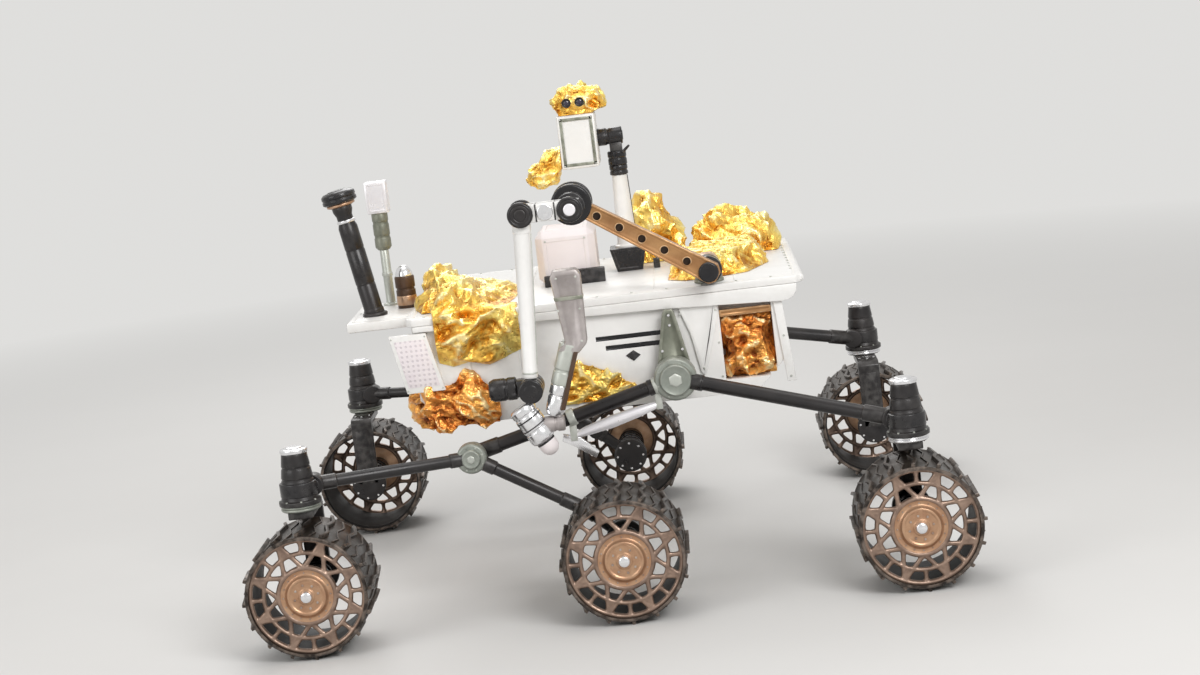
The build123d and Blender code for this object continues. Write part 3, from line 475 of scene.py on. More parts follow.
def build_materials():
    """Every finish on the rover, named for what it covers. A row holds the colour and its stain, the
    range of roughness, metal, mottling and grain, the rubbed edges' colour and amount, and the dust and painted
    warm sheen."""
    build_effects()
    c = bpy.context.scene.rover_colours
    plain = (18, 0.16), (500, 0.12), None, 0
    for name, *values in (
            ("White paint", c.white, (0.81, 0.80, 0.78), (0.34, 0.44), 0, (18, 0.16), (700, 0.06),
             (0.60, 0.57, 0.53), 0.22, 0.045),
            ("Panel white", c.panel, (0.80, 0.73, 0.73), (0.36, 0.46), 0, (18, 0.16), (600, 0.08),
             (0.58, 0.52, 0.50), 0.22, 0.04),
            ("Black tube", c.tube, (0.026, 0.023, 0.023), (0.26, 0.40), 0.25, (18, 0.16), (900, 0.10),
             (0.22, 0.21, 0.20), 0.45, 0.04),
            ("Black drum", (0.010, 0.010, 0.012), (0.024, 0.022, 0.022), (0.18, 0.32), 0.2, (18, 0.16),
             (800, 0.06), (0.18, 0.17, 0.17), 0.4, 0.03),
            ("Wheel metal", c.tread, (0.038, 0.030, 0.025), (0.30, 0.48), 0.6, (30, 0.14), (420, 0.20),
             (0.30, 0.24, 0.20), 0.8, 0.10),
            # Near-black painted shade for the inside of the wheel drums.
            ("Wheel inside", (0.008, 0.007, 0.007), (0.014, 0.011, 0.010), (0.50, 0.65), 0.2, *plain, 0.03),
            # Paler than the drum's metal: partly the struts' own tone, partly a painted sheen for the light they
            # reflect.
            ("Strut metal", (0.36, 0.25, 0.19), (0.19, 0.13, 0.10), (0.30, 0.46), 0.65, (45, 0.16),
             (380, 0.20), (0.62, 0.54, 0.47), 0.7, 0.15),
            ("Copper disc", (0.54, 0.34, 0.21), (0.40, 0.22, 0.13), (0.28, 0.42), 0.75, (55, 0.18),
             (500, 0.12), (0.85, 0.68, 0.52), 0.6, 0.08),
            ("Grey metal", c.grey, (0.24, 0.26, 0.23), (0.32, 0.46), 0.55, (26, 0.16), (600, 0.12),
             (0.66, 0.67, 0.62), 0.6, 0.12),
            ("Pale grey", (0.55, 0.57, 0.52), (0.42, 0.44, 0.40), (0.32, 0.44), 0.4, (18, 0.16), (600, 0.1),
             (0.76, 0.76, 0.72), 0.5, 0.1),
            ("Bright metal", (0.90, 0.88, 0.90), (0.82, 0.80, 0.83), (0.26, 0.36), 0.30, (40, 0.2),
             (900, 0.05), (0.95, 0.95, 0.95), 0.3, 0.02),
            ("Polished silver", (0.86, 0.86, 0.87), (0.72, 0.72, 0.74), (0.14, 0.28), 0.9, (40, 0.2),
             (900, 0.05), (0.95, 0.95, 0.95), 0.4, 0.08),
            ("Bronze paint", c.bronze, (0.33, 0.16, 0.06), (0.28, 0.42), 0.45, (22, 0.15), (500, 0.12),
             (0.86, 0.58, 0.33), 0.8, 0.08),
            ("Olive grey", (0.24, 0.25, 0.20), (0.17, 0.18, 0.14), (0.34, 0.48), 0.5, (34, 0.17), (520, 0.14),
             (0.60, 0.60, 0.52), 0.6, 0.12),
            ("Taupe grey", (0.42, 0.38, 0.37), (0.30, 0.27, 0.26), (0.36, 0.50), 0.3, (28, 0.17), (520, 0.14),
             (0.64, 0.60, 0.57), 0.5, 0.12),
            ("Dark brown", (0.060, 0.034, 0.022), (0.11, 0.060, 0.034), (0.34, 0.48), 0.3, *plain, 0.15)):
        coated(name, *values)
    foil_finish("Gold foil", c.gold, c.gold_fold_shade, (0.98, 0.52, 0.07), 75.0, 0.36)
    foil_finish("Orange foil", c.amber, c.amber_fold_shade, (0.70, 0.22, 0.04), 85.0, 0.45)
    dotted_finish("Dotted white", c.panel)
    glass_finish("Lens glass")


# Wheels, modelled about an axle at the origin on the rover's right

def to_wheel(place):
    """The move from the origin to a wheel's place, turned round on the rover's left."""
    at = JOINTS["roll_" + place]
    return Matrix.Translation(metres(at)) @ Matrix.Rotation(pi if at.y > 0 else 0, 4, "Z")


def lug(width, low, high):
    """A lug that zigzags across the tread, at the wheel's top."""
    bends = (-68, -3.5), (-36, 3.5), (0, -3.5), (36, 3.5), (68, -3.5)
    outline = [(x - width / 2, y, low) for y, x in bends] + [(x + width / 2, y, low) for y,
                                                             x in reversed(bends)]
    return plate("Wheel metal", outline, (0, 0, high - low), 0.9)


def wheel_face():
    """The openwork in a wheel's outer side: three rings and a zigzag of struts, cast as one."""
    middle, parts, r = (0, -58, 0), [], sizes().strut / MM
    for major, minor, depth in ((88, 4.4, 1.3), (67, 3.6, 1.2), (43.5, 4.6, 1.3)):
        select()
        bpy.ops.mesh.primitive_torus_add(major_radius=major * MM, minor_radius=minor * MM, major_segments=72,
                                         minor_segments=12)
        bpy.context.object.data.transform(Matrix.Translation(metres(middle)) @ Matrix.Rotation(pi / 2, 4, "X")
                                          @ Matrix.Diagonal((1, 1, depth, 1)))
        parts.append(bpy.context.object)

    for i in range(8):
        a = 2 * pi * i / 8
        for b in (a - pi / 8, a + pi / 8):
            near, far = circle(middle, 43, 1, turn=a)[0], circle(middle, 90, 1, turn=b)[0]
            line = metres(far) - metres(near)
            n = line.length / MM
            steps = (0, r * 1.35), (n * 0.25, r), (n * 0.75, r), (n, r * 1.4)
            parts.append(turned("Strut metal", near, line, *steps, sides=10, edge=0))
        for b in (a, a + pi / 8):
            near, far = (circle(middle, radius, 1, turn=b)[0] for radius in (67, 87))
            steps = (0, r * 1.2), (10, r * 0.9), (20, r * 1.3)
            line = metres(far) - metres(near)
            parts.append(turned("Strut metal", near, line, *steps, sides=10, edge=0))
    face = joined(parts)
    face.data.remesh_voxel_size = 1.3 * MM
    bpy.ops.object.voxel_remesh()
    modify(face, "SMOOTH", factor=0.5, iterations=6)
    modify(face, "DECIMATE", ratio=0.42)
    return finished(face, "Strut metal", 0)


def hub():
    """The copper disc in the middle of a wheel, with its bolts and bright nose."""
    disc = turned("Copper disc", (0, -54, 0), OUT, (0, 42.5), (7.2, 42.5), (8.6, 40.8), (7.4, 38.5),
                  (7.4, 34.5), (10, 31.8), (13.6, 29.6), (14, 26.8), (12.4, 24.5), (12.4, 13), (14, 11.8),
                  sides=48)
    nose = turned("Polished silver", (0, -66, 0), OUT, (0, 9.8), (5, 9.5), (7.8, 8), (9, 5), sides=24)
    heads = bolts(circle((0, -66.4, 0), 18.8, 8, turn=0.2), OUT, 2.2, 1.8, "Strut metal")
    return [disc, nose] + heads + bolts(circle((0, -61.4, 0), 36.5, 16), OUT, 1.4, 1.2, "Strut metal")


def drum():
    """The wide rim with its rolled lips, lugs, low ribs, and a near-black lining inside as painted shade."""
    half = [(72, 89), (72, 92.5), (70, 94.5), (66, 94.5), (63.5, 93.2), (20, 93.8)]
    wall = [(-y, r) for y, r in half] + half[::-1] + [(68, 89.8), (-68, 89.8)]
    parts = [turned("Wheel metal", (0, 0, 0), IN, *wall, sides=96, edge=0, hollow=True)]
    tall, rib = lug(sizes().lug_width / MM, 91.5, JOINTS["roll_rear_right"].z), lug(2.8, 91.5, 95.8)
    for i in range(16):
        parts.append(moved(tall, Matrix.Rotation(2 * pi * i / 16, 4, "Y")))
        parts.append(moved(rib, Matrix.Rotation(2 * pi * (i + 0.5) / 16, 4, "Y")))
    for spare in (tall, rib):
        bpy.data.objects.remove(spare)
    # A near-black lining inside the drum: painted shade for the wheel's shadowed inside.
    painted_shade_lining = (-48, 89.6), (-48, 86.8), (-45, 86.2), (66, 86.2), (66, 89.6)
    return parts + [turned("Wheel inside", (0, 0, 0), IN, *painted_shade_lining, sides=64, edge=0, hollow=True)]


class RoverWheels(bpy.types.Operator):
    """Builds one wheel and copies it to the six axles"""
    bl_idname = "object.rover_wheels"
    bl_label = "Rover wheels"

    def execute(self, context):
        wheel = joined(drum() + [wheel_face()] + hub())
        for place in [name[5:] for name in JOINTS if name.startswith("roll_")]:
            ready("openwork_" + place, [moved(wheel, to_wheel(place))], "wheel_" + place)
        bpy.data.objects.remove(wheel)
        return {"FINISHED"}


# Steering knuckles

def drive(start, length):
    """A ribbed hub motor inside a wheel."""
    steps = [(0, 23)]
    for i in range(5):
        at = length * (0.12 + 0.15 * i)
        steps += [(at, 23), (at + 1, 24), (at + 7, 24), (at + 8, 22)]
    return turned("Black drum", start, OUT, *steps, (length - 2, 22), (length, 19), sides=32, edge=0)


def right_knuckle(collar_material):
    """A knuckle about the axle, for the rover's right side."""
    collar = turned(collar_material, (0, 0, 122.7), UP, (0, 29), (2, 31), (4.5, 31), (5.5, 29), (6.5, 31),
                    (8.5, 31), (9, 30))
    outline = ((-20, 110.7), (-20, 122.7), (81, 122.7), (88, 120.5), (93, 114), (93, 0), (81, 0), (81, 108),
               (78, 110.7))
    arm = plate("Black tube", [(-19, y, z) for y, z in outline], (38, 0, 0), 1.6)
    pocket = plate("Black tube", [(-12, 92.5, 40), (12, 92.5, 40), (12, 92.5, 100), (-12, 92.5, 100)],
                   (0, 1.2, 0), 0.5)
    boss = turned("Black tube", (0, 81, 0), IN, (0, 29), (2, 31), (10, 31), (12, 29), (11.4, 24), (12, 22),
                  (12, 12), (11.5, 10))
    ring = bolts(circle((0, 92.5, 0), 26.5, 8, turn=0.2), IN, 2, 1.2, "Polished silver")
    top = bolts([(x, y, 122.5) for x, y in ((-13, -14), (13, -14), (-13, 60), (13, 60), (0, 72))], UP, 2.2,
                1.4, "Polished silver")
    return [collar, arm, pocket, boss, drive((0, 82, 0), 135.5)] + ring + top


class RoverKnuckles(bpy.types.Operator):
    """Builds one steering knuckle and copies it to the four corner wheels"""
    bl_idname = "object.rover_knuckles"
    bl_label = "Rover steering knuckles"

    def execute(self, context):
        for axle, collar in (("rear", "Grey metal"), ("front", "Polished silver")):
            knuckle = joined(right_knuckle(collar))
            for place in (axle + "_right", axle + "_left"):
                ready("turning_bracket_" + place, [moved(knuckle, to_wheel(place))], "knuckle_" + place)
            bpy.data.objects.remove(knuckle)
        return {"FINISHED"}


# Legs, modelled on the rover's right

def strut(start, end, radius, sleeve):
    """A tube with a sleeve and a groove at each end."""
    line = Vector(end) - Vector(start)
    length, slim = line.length, radius - 1.8
    return turned("Black tube", start, line, (0, radius), (sleeve, radius), (sleeve + 1.5, slim),
                  (length - sleeve - 1.5, slim), (length - sleeve, radius), (length, radius), sides=32)


def can_radius(z):
    """The steering can's radius at a height."""
    return 28.8 - 8.8 * (z - 240) / 72


def steering_can(x, y):
    """A tapered steering can with its flange, ribs and silver cap."""
    steps = [(0, 33), (6.5, 33), (8, 30), (8.2, 28.8)]
    for z in (252, 270, 288):
        r = can_radius(z)
        steps += [(z - 232, r), (z - 231, r - 1.2), (z - 228.5, r - 1.4), (z - 227.5, r - 0.4)]
    body = turned("Black tube", (x, y, 232), UP, *steps, (76, 20.3), (80, 20))
    cap = turned("Polished silver", (x, y, 312), UP, (0, 20.5), (1.2, 21.5), (6, 21.5), (7, 20), (7.2, 14.5),
                 (9.5, 13.5), (10, 11), (10, 8), (10, 4))
    return [body, cap] + bolts(circle((x, y, 239.5), 30.8, 8, "Z", 0.2), UP, 1.8, 1.2, "Grey metal")


def can_boss(x, z, can_x):
    """The clamp where a tube meets its steering can."""
    boss = turned("Black tube", (x, -391, z), OUT, (0, 15.5), (1.5, 17), (24.5, 17), (26, 15.5), (25.5, 11),
                  (26.5, 10), (26.5, 4), sides=32)
    r = can_radius(z)
    band = turned("Black drum", (can_x, -425, z - 11), UP, (0, r + 0.8), (1, r + 2.2), (21, r + 2.2),
                  (22, r + 0.4))
    return [boss, band]


def pivot_cap(x, z, start, shoulder, end, wide, narrow):
    """A stepped pivot cap across the rover, with a paler middle. The three places are in Y."""
    a, b = start - shoulder, start - end
    cap = turned("Grey metal", (x, start, z), OUT, (0, wide - 3), (3, wide), (a * 0.45, wide),
                 (a * 0.5, wide - 1.5), (a * 0.55, wide), (a - 3, wide), (a, wide - 3), (a, narrow + 1),
                 (b - 2, narrow), (b, narrow - 2), (b - 1.5, narrow - 5), (b - 1.5, narrow * 0.45),
                 sides=48)
    middle = turned("Pale grey", (x, end + 2, z), OUT, (0, narrow * 0.45), (1.2, narrow * 0.45),
                    (2, narrow * 0.36), (2, narrow * 0.2), sides=6)
    ring = circle((x, shoulder + 0.3, z), (wide + narrow) / 2 - 0.6, 8, turn=0.3)
    return [cap, middle] + bolts(ring, OUT, 1.9, 1.4, "Grey metal")


def rocker():
    """The right rocker with its front can, pivot and bright brace."""
    pivot = (125, -300, 338)
    parts = steering_can(470, -425)
    parts += [strut(pivot, end, 13, 45) for end in ((450, -404, 256), (-208, -300, 254))]
    parts += can_boss(450, 256, 470)
    parts.append(turned("Black tube", (-208, -285, 254), OUT, (0, 16), (2, 18), (30, 18), (31.5, 17)))
    parts += pivot_cap(125, 338, -280, -314, -322, 34, 25)
    low, high = Vector((-45, -300, 265.1)), Vector((95, -300, 300.4))
    line = high - low
    length = line.length
    parts.append(turned("Bright metal", low, line, (-4, 3.4), (3, 4.6), (length * 0.16, 7.8),
                        (length * 0.45, 10.2), (length * 0.75, 8.8), (length, 5), (length + 4, 3.4),
                        sides=24))
    for x, y, z in (low, high):
        parts.append(block("Pale grey", (x - 5.5, y - 5.5, z - 8), (x + 5.5, y + 5.5, z + 30), 1.2))
        parts.append(turned("Pale grey", (x - 6, y, z + 28.2), (12, 0, 3.6), (0, 13.2), (1.2, 14), (11, 14),
                            (12.2, 13.2)))
    tab = (-62, 270), (-36, 262), (-8, 236), (-14, 226), (-46, 248), (-64, 258)
    return parts + [side_plate("Polished silver", tab, -295, 8)]


def bogie():
    """The right bogie with its rear can, knee, middle hub and hub motor."""
    pivot, knee, axle = (-208, -330, 254), (-40, -330, 152), (18, -330, 100)
    parts = steering_can(-470, -425)
    parts += [strut(start, end, 11.5, sleeve) for start, end, sleeve in
              ((pivot, (-450, -404, 256), 35), (pivot, knee, 40), (knee, axle, 20))]
    parts += can_boss(-450, 256, -470) + pivot_cap(-208, 254, -316.5, -342, -348, 24, 15)
    parts.append(turned("Black tube", (-40, -317.5, 152), OUT, (0, 12), (1.5, 13.5), (23.5, 13.5), (25, 12),
                        (24.5, 8), (24.5, 4), sides=32))
    parts.append(turned("Black tube", (18, -317, 100), OUT, (0, 24), (0.6, 28), (2, 30), (12, 30), (13, 28.5),
                        (14, 30), (24, 30), (26, 28)))
    parts.append(drive((18, -342, 100), 136.5))
    return parts + bolts(circle((18, -317.2, 100), 23.5, 8), IN, 2, 1, "Polished silver")


def bracket():
    """The right upright: a grey triangle from the rocker's pivot to the deck."""
    outline = ((95, 338), (99, 324), (110, 318), (140, 318), (151, 324), (155, 338), (135, 438), (131, 445),
               (119, 445), (115, 438))
    upright = inset(side_plate("Olive grey", outline, -270, 10), [OUT], (4, 0), (0.6, -1))
    stem = turned("Grey metal", (125, -250, 338), OUT, (0, 18.5), (18, 18.5), (20, 20))
    heads = [(x, -280, z) for x, z in ((125, 436), (125, 420), (109, 380), (141, 380))]
    return [upright, stem] + bolts(heads, OUT, 2.4, 1.4, "Polished silver")


class RoverLegs(bpy.types.Operator):
    """Builds the rockers, the bogies and the upright brackets on both sides"""
    bl_idname = "object.rover_legs"
    bl_label = "Rover legs"

    def execute(self, context):
        both_sides("rocker_tubes", rocker(), "rocker")
        both_sides("bogie_tubes", bogie(), "bogie")
        ready("upright_brackets", mirrored(bracket()), "rocker_brackets")
        return {"FINISHED"}


# Body and deck

def cut(piece, cutters):
    """Cuts shapes out of a piece, keeps their materials and rounds the edges again."""
    tool = joined(cutters)
    modify(piece, "BOOLEAN", operation="DIFFERENCE", object=tool, solver="EXACT", material_mode="TRANSFER")
    bpy.data.objects.remove(tool)
    return rounded(piece, 0.9, 40)


def body_shell():
    """The body with its bevelled lower edges, bays, side slots and bolt holes; the slots' and holes' walls are
    black as painted shade.
    """
    outline = (-285, BODY_TOP), (300, BODY_TOP), (300, 341), (254, 295), (-239, 295), (-285, 341)
    shell = side_plate("White paint", outline, SIDE, 2 * SIDE, 0)
    cutters = []
    for side in (-1, 1):
        # The slot cutters are black, so the slots' walls come out black: painted shade.
        for material, deep, x0, z0, x1, z1 in (("White paint", 210, 205, 318, 288, 448),
                                               ("Black drum", 249, 6, 403.5, 114, 410.5),
                                               ("Black drum", 249, 20, 387.5, 110, 394.5)):
            y0, y1 = sorted((side * deep, side * 256))
            cutters.append(block(material, (x0, y0, z0), (x1, y1, z1), 0))
    for x, y in ((-100, -80), (-100, 80), (100, -80), (100, 80)):
        # Black hole cutters darken the holes' walls as painted shade.
        cutters.append(turned("Black drum", (x, y, 294), UP, (0, 3.2), (19, 3.2), sides=16, edge=0))
    return cut(shell, cutters)


def side_detail(side):
    """Seams, a small dark diamond and screws on one side."""
    y, push = side * SIDE, (0, side * 1.2, 0)
    diamond = (50, 376), (62, 366), (74, 375), (63, 383.5)
    parts = [plate("Black drum", [(x, y, z) for x, z in diamond], push, 0.3)]
    for x in (-200, -120):
        seam = [(x, y, 352), (x + 3, y, 352), (x + 3, y, 448), (x, y, 448)]
        parts.append(plate("White paint", seam, push, 0.4))
    places = [(-275 + 55 * i, 454.5) for i in range(8)]
    places += [(200, 440), (200, 380), (200, 325), (-268, 345), (-180, 305), (-110, 305)]
    return parts + bolts([(x, y, z) for x, z in places], side * IN, 2.1, 1.2)


def ends():
    """Inset covers with screws on the front and the rear."""
    front = inset(block("White paint", (299, -180, 352), (303, 180, 448), 1.4), [AHEAD], (6, 0), (1.2, -1.2))
    rear = inset(block("White paint", (-287.5, -60, 352), (-284, 200, 440), 1.4), [BACK], (6, 0), (1, -1))
    heads = bolts([(302.5, y, z) for y in (-172, -60, 60, 172) for z in (356, 444)], AHEAD, 2.2, 1.2)
    return [front, rear] + heads + bolts([(-286.8, y, z) for y in (-55, 70, 195) for z in (356, 436)], BACK,
                                         2.2, 1)


def panels():
    """The pointed panel and the leaning frame strip on the right side."""
    point = (135, 460), (209, 460), (196, 400), (177, 336), (172, 332), (167, 336), (156, 400)
    panel = inset(side_plate("White paint", point, -SIDE, 5), [OUT], (5, 0), (0.7, -0.8))
    strip = side_plate("White paint", [(290, 460), (304, 460), (316, 306), (302, 306)], -SIDE, 5)
    places = (143, 433), (200, 433), (172, 342), (298, 448), (303, 380), (308, 314)
    return [panel, strip] + bolts([(x, -260, z) for x, z in places], OUT, 2, 1.2)


class RoverBody(bpy.types.Operator):
    """Builds the body box, its side panels, frames and bay bars"""
    bl_idname = "object.rover_body"
    bl_label = "Rover body"

    def execute(self, context):
        ready("body_box", [body_shell()] + side_detail(-1) + side_detail(1) + ends(), "body_shell")
        ready("pointed_panels", mirrored(panels()), "side_panels")
        bar = block("Bronze paint", (205.5, -SIDE, 420), (287.5, -247, 431), 1)
        ready("bay_crossbars", mirrored([inset(bar, [OUT], (2.2, 0), (0.4, -0.6))]), "bay_bars")
        return {"FINISHED"}


def deck():
    """The top plate with its rolled lip, seams and screws."""
    x0, x1, y, c = -292, 342, 266, 10
    outline = ((x0 + c, -y), (x1 - c, -y), (x1, c - y), (x1, y - c), (x1 - c, y), (x0 + c, y), (x0, y - c),
               (x0, c - y))
    top = plate("White paint", [(px, py, BODY_TOP) for px, py in outline], (0, 0, 12.5), 2.8)
    inset(top, [UP], (8.5, 0), (1.2, -1), (1.2, 1))
    lip = turned("White paint", (338.5, -256, 468.5), IN, (-4, 3), (0, 6.2), (512, 6.2), (516, 3), sides=20,
                 edge=0)
    seams = [block("White paint", (x, -235, 474.2), (x + 2.2, 235, 475.4), 0.3) for x in (-105, 105, 235)]
    places = [(-262 + 55.5 * i, s * 253.5, 474.7) for i in range(11) for s in (-1, 1)]
    places += [(328, 36 * i, 474.7) for i in range(-5, 6)]
    return [top, lip] + seams + bolts(places, UP, 2.2, 1.2)


def rail():
    """The right rail, deeper towards its rounded front end."""
    outline = ((-282, BODY_TOP), (-282, 453), (125, 444.5), (306, 436), (318, 437.5), (326, 443), (331, 451),
               (332, BODY_TOP))
    return [side_plate("White paint", outline, -261, 7, 1.8)]


def deck_box():
    """The pinkish raised box, with a sunk face on each side."""
    ring = (-85, -50), (15, -50), (15, 70), (-85, 70)
    body = plate("Panel white", [(x, y, DECK_TOP) for x, y in ring], (0, 0, 92), 0)
    modify(body, "BEVEL", width=12 * MM, segments=1, limit_method="ANGLE", angle_limit=radians(50))
    body = finished(inset(body, (*WALLS, UP), (6, 0), (1, -1.2)), "Panel white", 0.8)
    return [body] + bolts([(x, -50.2, z) for x in (-68, -2) for z in (490, 550)], OUT, 2, 1)


def fittings():
    """Low black pieces on the deck: slots beside the box, a stud and a socket."""
    parts = []
    for x, y, length, wide, high in ((2, -57, 48, 14, 24), (-66, -56, 20, 12, 18), (112, 40, 11, 11, 17),
                                     (150, -80, 20, 12, 13)):
        piece = block("Black drum", (x - length / 2, y - wide / 2, 474.5),
                      (x + length / 2, y + wide / 2, DECK_TOP + high), 1.4)
        parts.append(inset(piece, [UP], (1.8, 0), (0.6, -1.2)))
    return parts


class RoverDeck(bpy.types.Operator):
    """Builds the deck, its rails and the fittings that stand on it"""
    bl_idname = "object.rover_deck"
    bl_label = "Rover deck"

    def execute(self, context):
        ready("deck_plate", deck(), "deck")
        ready("deck_side_rails", mirrored(rail()), "deck_rails")
        ready("raised_deck_box", deck_box(), "deck_box")
        ready("low_fittings", fittings(), "deck_fittings")
        return {"FINISHED"}


# Foil, in metres

def ridge(point, size):
    """Long folds in film: 1 on a fold's sharp edge, falling to 0 in the hollow beside it."""
    return 1.0 - min(1.0, abs(noise.noise(point / size)) * 2.7)


def facet(point, size):
    """Small crumples in film: 0 in the middle of a dent, up to 1 on the edges between dents."""
    return min(1.0, noise.voronoi(point / size, distance_metric="DISTANCE")[0][0] * 1.25)


def within(value, low=0.0, high=1.0):
    return max(low, min(high, value))


def held_in(at, push, low, high):
    """A push that slows down before the place reaches the limits."""
    room = high - at if push > 0 else at - low
    return 0.0 if room < 0.00001 else room * tanh(push / room)


def bundle(node):
    """A copy of a CAD bundle's form."""
    piece = moved(frame["nodes"][node], Matrix())
    piece.parent = None
    for key in list(piece.keys()):
        if key.startswith("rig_"):
            del piece[key]
    return piece


def film(piece, material, mesh, fold, stretch=(1, 1, 1), lean=0.0, seat=None, shift=0.0, proud=0.0,
         hearts=()):
    """Foil over a bundle: its form remeshed, softened and thrown into folds and crumples.
    Seat is a test for the places that lie against the body and stay flat. Hearts are the
    places and reaches where the folds glow orange."""
    corners = [v.co for v in piece.data.vertices]
    low, high = [[pick(c[i] for c in corners) for i in range(3)] for pick in (min, max)]
    select(piece)
    edit_all("VERT")
    bpy.ops.mesh.remove_doubles(threshold=0.00002)
    bpy.ops.object.mode_set(mode="OBJECT")
    piece.data.remesh_voxel_size = mesh
    bpy.ops.object.voxel_remesh()
    modify(piece, "SMOOTH", factor=0.6, iterations=14)
    turn = Matrix.Diagonal(stretch) @ Matrix.Rotation(radians(lean), 3, "Y")
    noise.seed_set(FOLD_SEED)
    normals = [v.normal.copy() for v in piece.data.vertices]
    values, glows = [], []
    for vertex, normal in zip(piece.data.vertices, normals):
        place = vertex.co.copy()
        bent = turn @ (place + noise.noise_vector(place * 14.0) * 0.016) + Vector((shift, shift, shift))
        big = ridge(bent, fold * 3.2)
        middle = ridge(bent + Vector((3, 1, 2)), fold * 1.40)
        small = facet(bent + Vector((7, 5, 9)), fold * 0.55)
        height = fold * (1.00 * (big - 0.62) + 0.36 * (middle - 0.55) + 0.15 * (small - 0.5))
        push = normal * height * (seat(place) if seat else 1.0)
        vertex.co = [c + held_in(c, d, a - proud, b + proud) for c, d, a, b in zip(place, push, low, high)]
        values.append(within(0.58 * big + 0.34 * middle + 0.16 * small))
        glows.append(max([0.0] + [1.25 - (place - Vector(core)).length / reach for core, reach in hearts]))
    for name, numbers in (("fold", values), ("heart", glows)):
        piece.data.attributes.new(name, "FLOAT", "POINT").data.foreach_set("value", numbers)
    piece.data.update()
    return smooth(covered(piece, material), 30)


def on_line(line, x):
    """The height at x on a line of points."""
    for (x0, z0), (x1, z1) in zip(line, line[1:]):
        if x <= x1:
            return z0 + (z1 - z0) * (x - x0) / (x1 - x0)
    return line[-1][1]


def lying(z, free=0.010):
    """A seat on a level face at z: foil stays flat there and is free a little above."""
    return lambda place: within((place.z - z) / free)


def hanging(z, axis, start, free=0.010):
    """A seat as above, with places beyond start on the axis's lower side free as well."""
    level = lying(z, free)
    return lambda place: max(level(place), min(1.0, (start - place[axis]) / 0.008))


def sloped(heap):
    """The heap with its peak at the rear and its top falling towards the front, as the camera
    sees it, narrower at the front, and with the drape's lower corners drawn up."""
    line = (-0.330, 0.545), (-0.250, 0.568), (-0.182, 0.512), (-0.142, 0.492), (-0.100, 0.486), (0.0, 0.484)
    foot, high, least = 0.480, 0.059, 0.14    # its foot and height over that, and the least of it that stays
    for vertex in heap.data.vertices:
        x, y, z = vertex.co
        if z > foot:
            beyond = y + 0.2
            top = on_line(line, x + 0.105 * beyond) - 0.115 * beyond
            vertex.co.z = foot + (z - foot) * max(least, (top - foot) / high)
        if y > -0.1:
            vertex.co.y = y - 0.4 * (y + 0.1) * within((x + 0.240) / 0.090)
        if z <= foot and y < -0.262:
            front, back = within((x + 0.170) / 0.058) * 0.72, within((-0.205 - x) / 0.043) * 0.35
            vertex.co.z = z + (0.470 - z) * max(front, back)
    return heap


def drawn_up(heap):
    """The lower foil with its side part drawn up to the drape."""
    for vertex in heap.data.vertices:
        if vertex.co.y < -0.252 and vertex.co.z > 0.320:
            vertex.co.z = 0.320 + (vertex.co.z - 0.320) * 1.6
    return heap


def skirt():
    """The low foil on the deck between the front bundle and the arm's shoulder, with its outline
    in millimetres."""
    rows = (128, -150), (158, -186), (215, -184), (262, -160), (300, -60), (290, 86), (180, 86), (140, -20)
    heap = plate("Gold foil", [(x, y, DECK_TOP) for x, y in rows], (0, 0, 30), 0)
    for vertex in heap.data.vertices:
        if vertex.co.z > 0.48:
            vertex.co = Vector((0.215, -0.040, 0.512)) + (vertex.co - Vector((0.215, -0.040, 0.505))) * 0.72
    return heap


class RoverFoil(bpy.types.Operator):
    """Crumples foil over the bundles on the deck, under the rear, in the bays and on the sides"""
    bl_idname = "object.rover_foil"
    bl_label = "Rover foil"

    def execute(self, context):
        fold, mesh, deck_z = sizes().fold, sizes().weave, 0.475
        hearts = ((-0.195, -0.275, 0.468), 0.048), ((-0.285, -0.130, 0.520), 0.045)
        mound = film(sloped(bundle("foil_mound")), "Gold foil", mesh, fold, (0.8, 0.8, 1.3), 38,
                     hanging(deck_z, 1, -0.271, 0.024), 0.0, 0.006, hearts)
        ready("mound_foil", [mound], "foil_mound")
        bundles = film(bundle("foil_deck_bundles"), "Gold foil", mesh, fold * 0.85, (1.2, 1, 0.7), 20,
                       lying(deck_z), 0.4, 0.005)
        ready("bundle_foil", [bundles], "foil_deck_bundles")
        low = film(skirt(), "Gold foil", mesh * 0.8, fold * 0.55, (1, 1, 0.9), 20, lying(deck_z), 5.2)
        ready("shoulder_foil", [low])
        rear = film(drawn_up(bundle("foil_rear_lower")), "Orange foil", mesh, fold * 0.75, (0.8, 0.8, 1.3),
                    -30, shift=0.9)
        ready("rear_lower_foil", [rear], "foil_rear_lower")
        bays = film(bundle("foil_bays"), "Orange foil", mesh, fold * 0.55, (1, 1, 0.8), 40, shift=1.7)
        ready("bay_foil", [bays], "foil_bays")
        patches = film(bundle("foil_side_patches"), "Gold foil", mesh * 0.7, fold * 0.38, (0.6, 1, 1), 25,
                       shift=2.3)
        ready("side_foil", [patches], "foil_side_patches")
        return {"FINISHED"}


# Rear fittings

def shelf():
    """The thick white shelf behind the deck, with a folded edge."""
    slab = inset(block("White paint", (-405, -135, 446), (-285, 95, BODY_TOP), 4), [UP], (7, 0), (1, -0.8),
                 (1, 0.8))
    inset(slab, [-UP], (6, 0), (1, -1.5))
    return [slab] + bolts([(x, y, 461.8) for x in (-394, -300) for y in (-124, -18, 84)], UP, 2.2, 1)


def radiator():
    """The slanted panel on the right side: a white border round a dotted face."""
    outline = [Vector(p) for p in ((-322, 451), (-262, 451), (-241, 356), (-303, 356))]
    middle = Vector((-282, 403.5))
    face, ring = ([middle + (p - middle) * k for p in outline] for k in (0.80, 0.90))
    return [side_plate("White paint", outline, -SIDE, 12, 1.6),
            side_plate("Dotted white", face, -266.8, 1, 0.3),
            *bolts([(x, -266.8, z) for x, z in ring], OUT, 1.8, 0.8)]


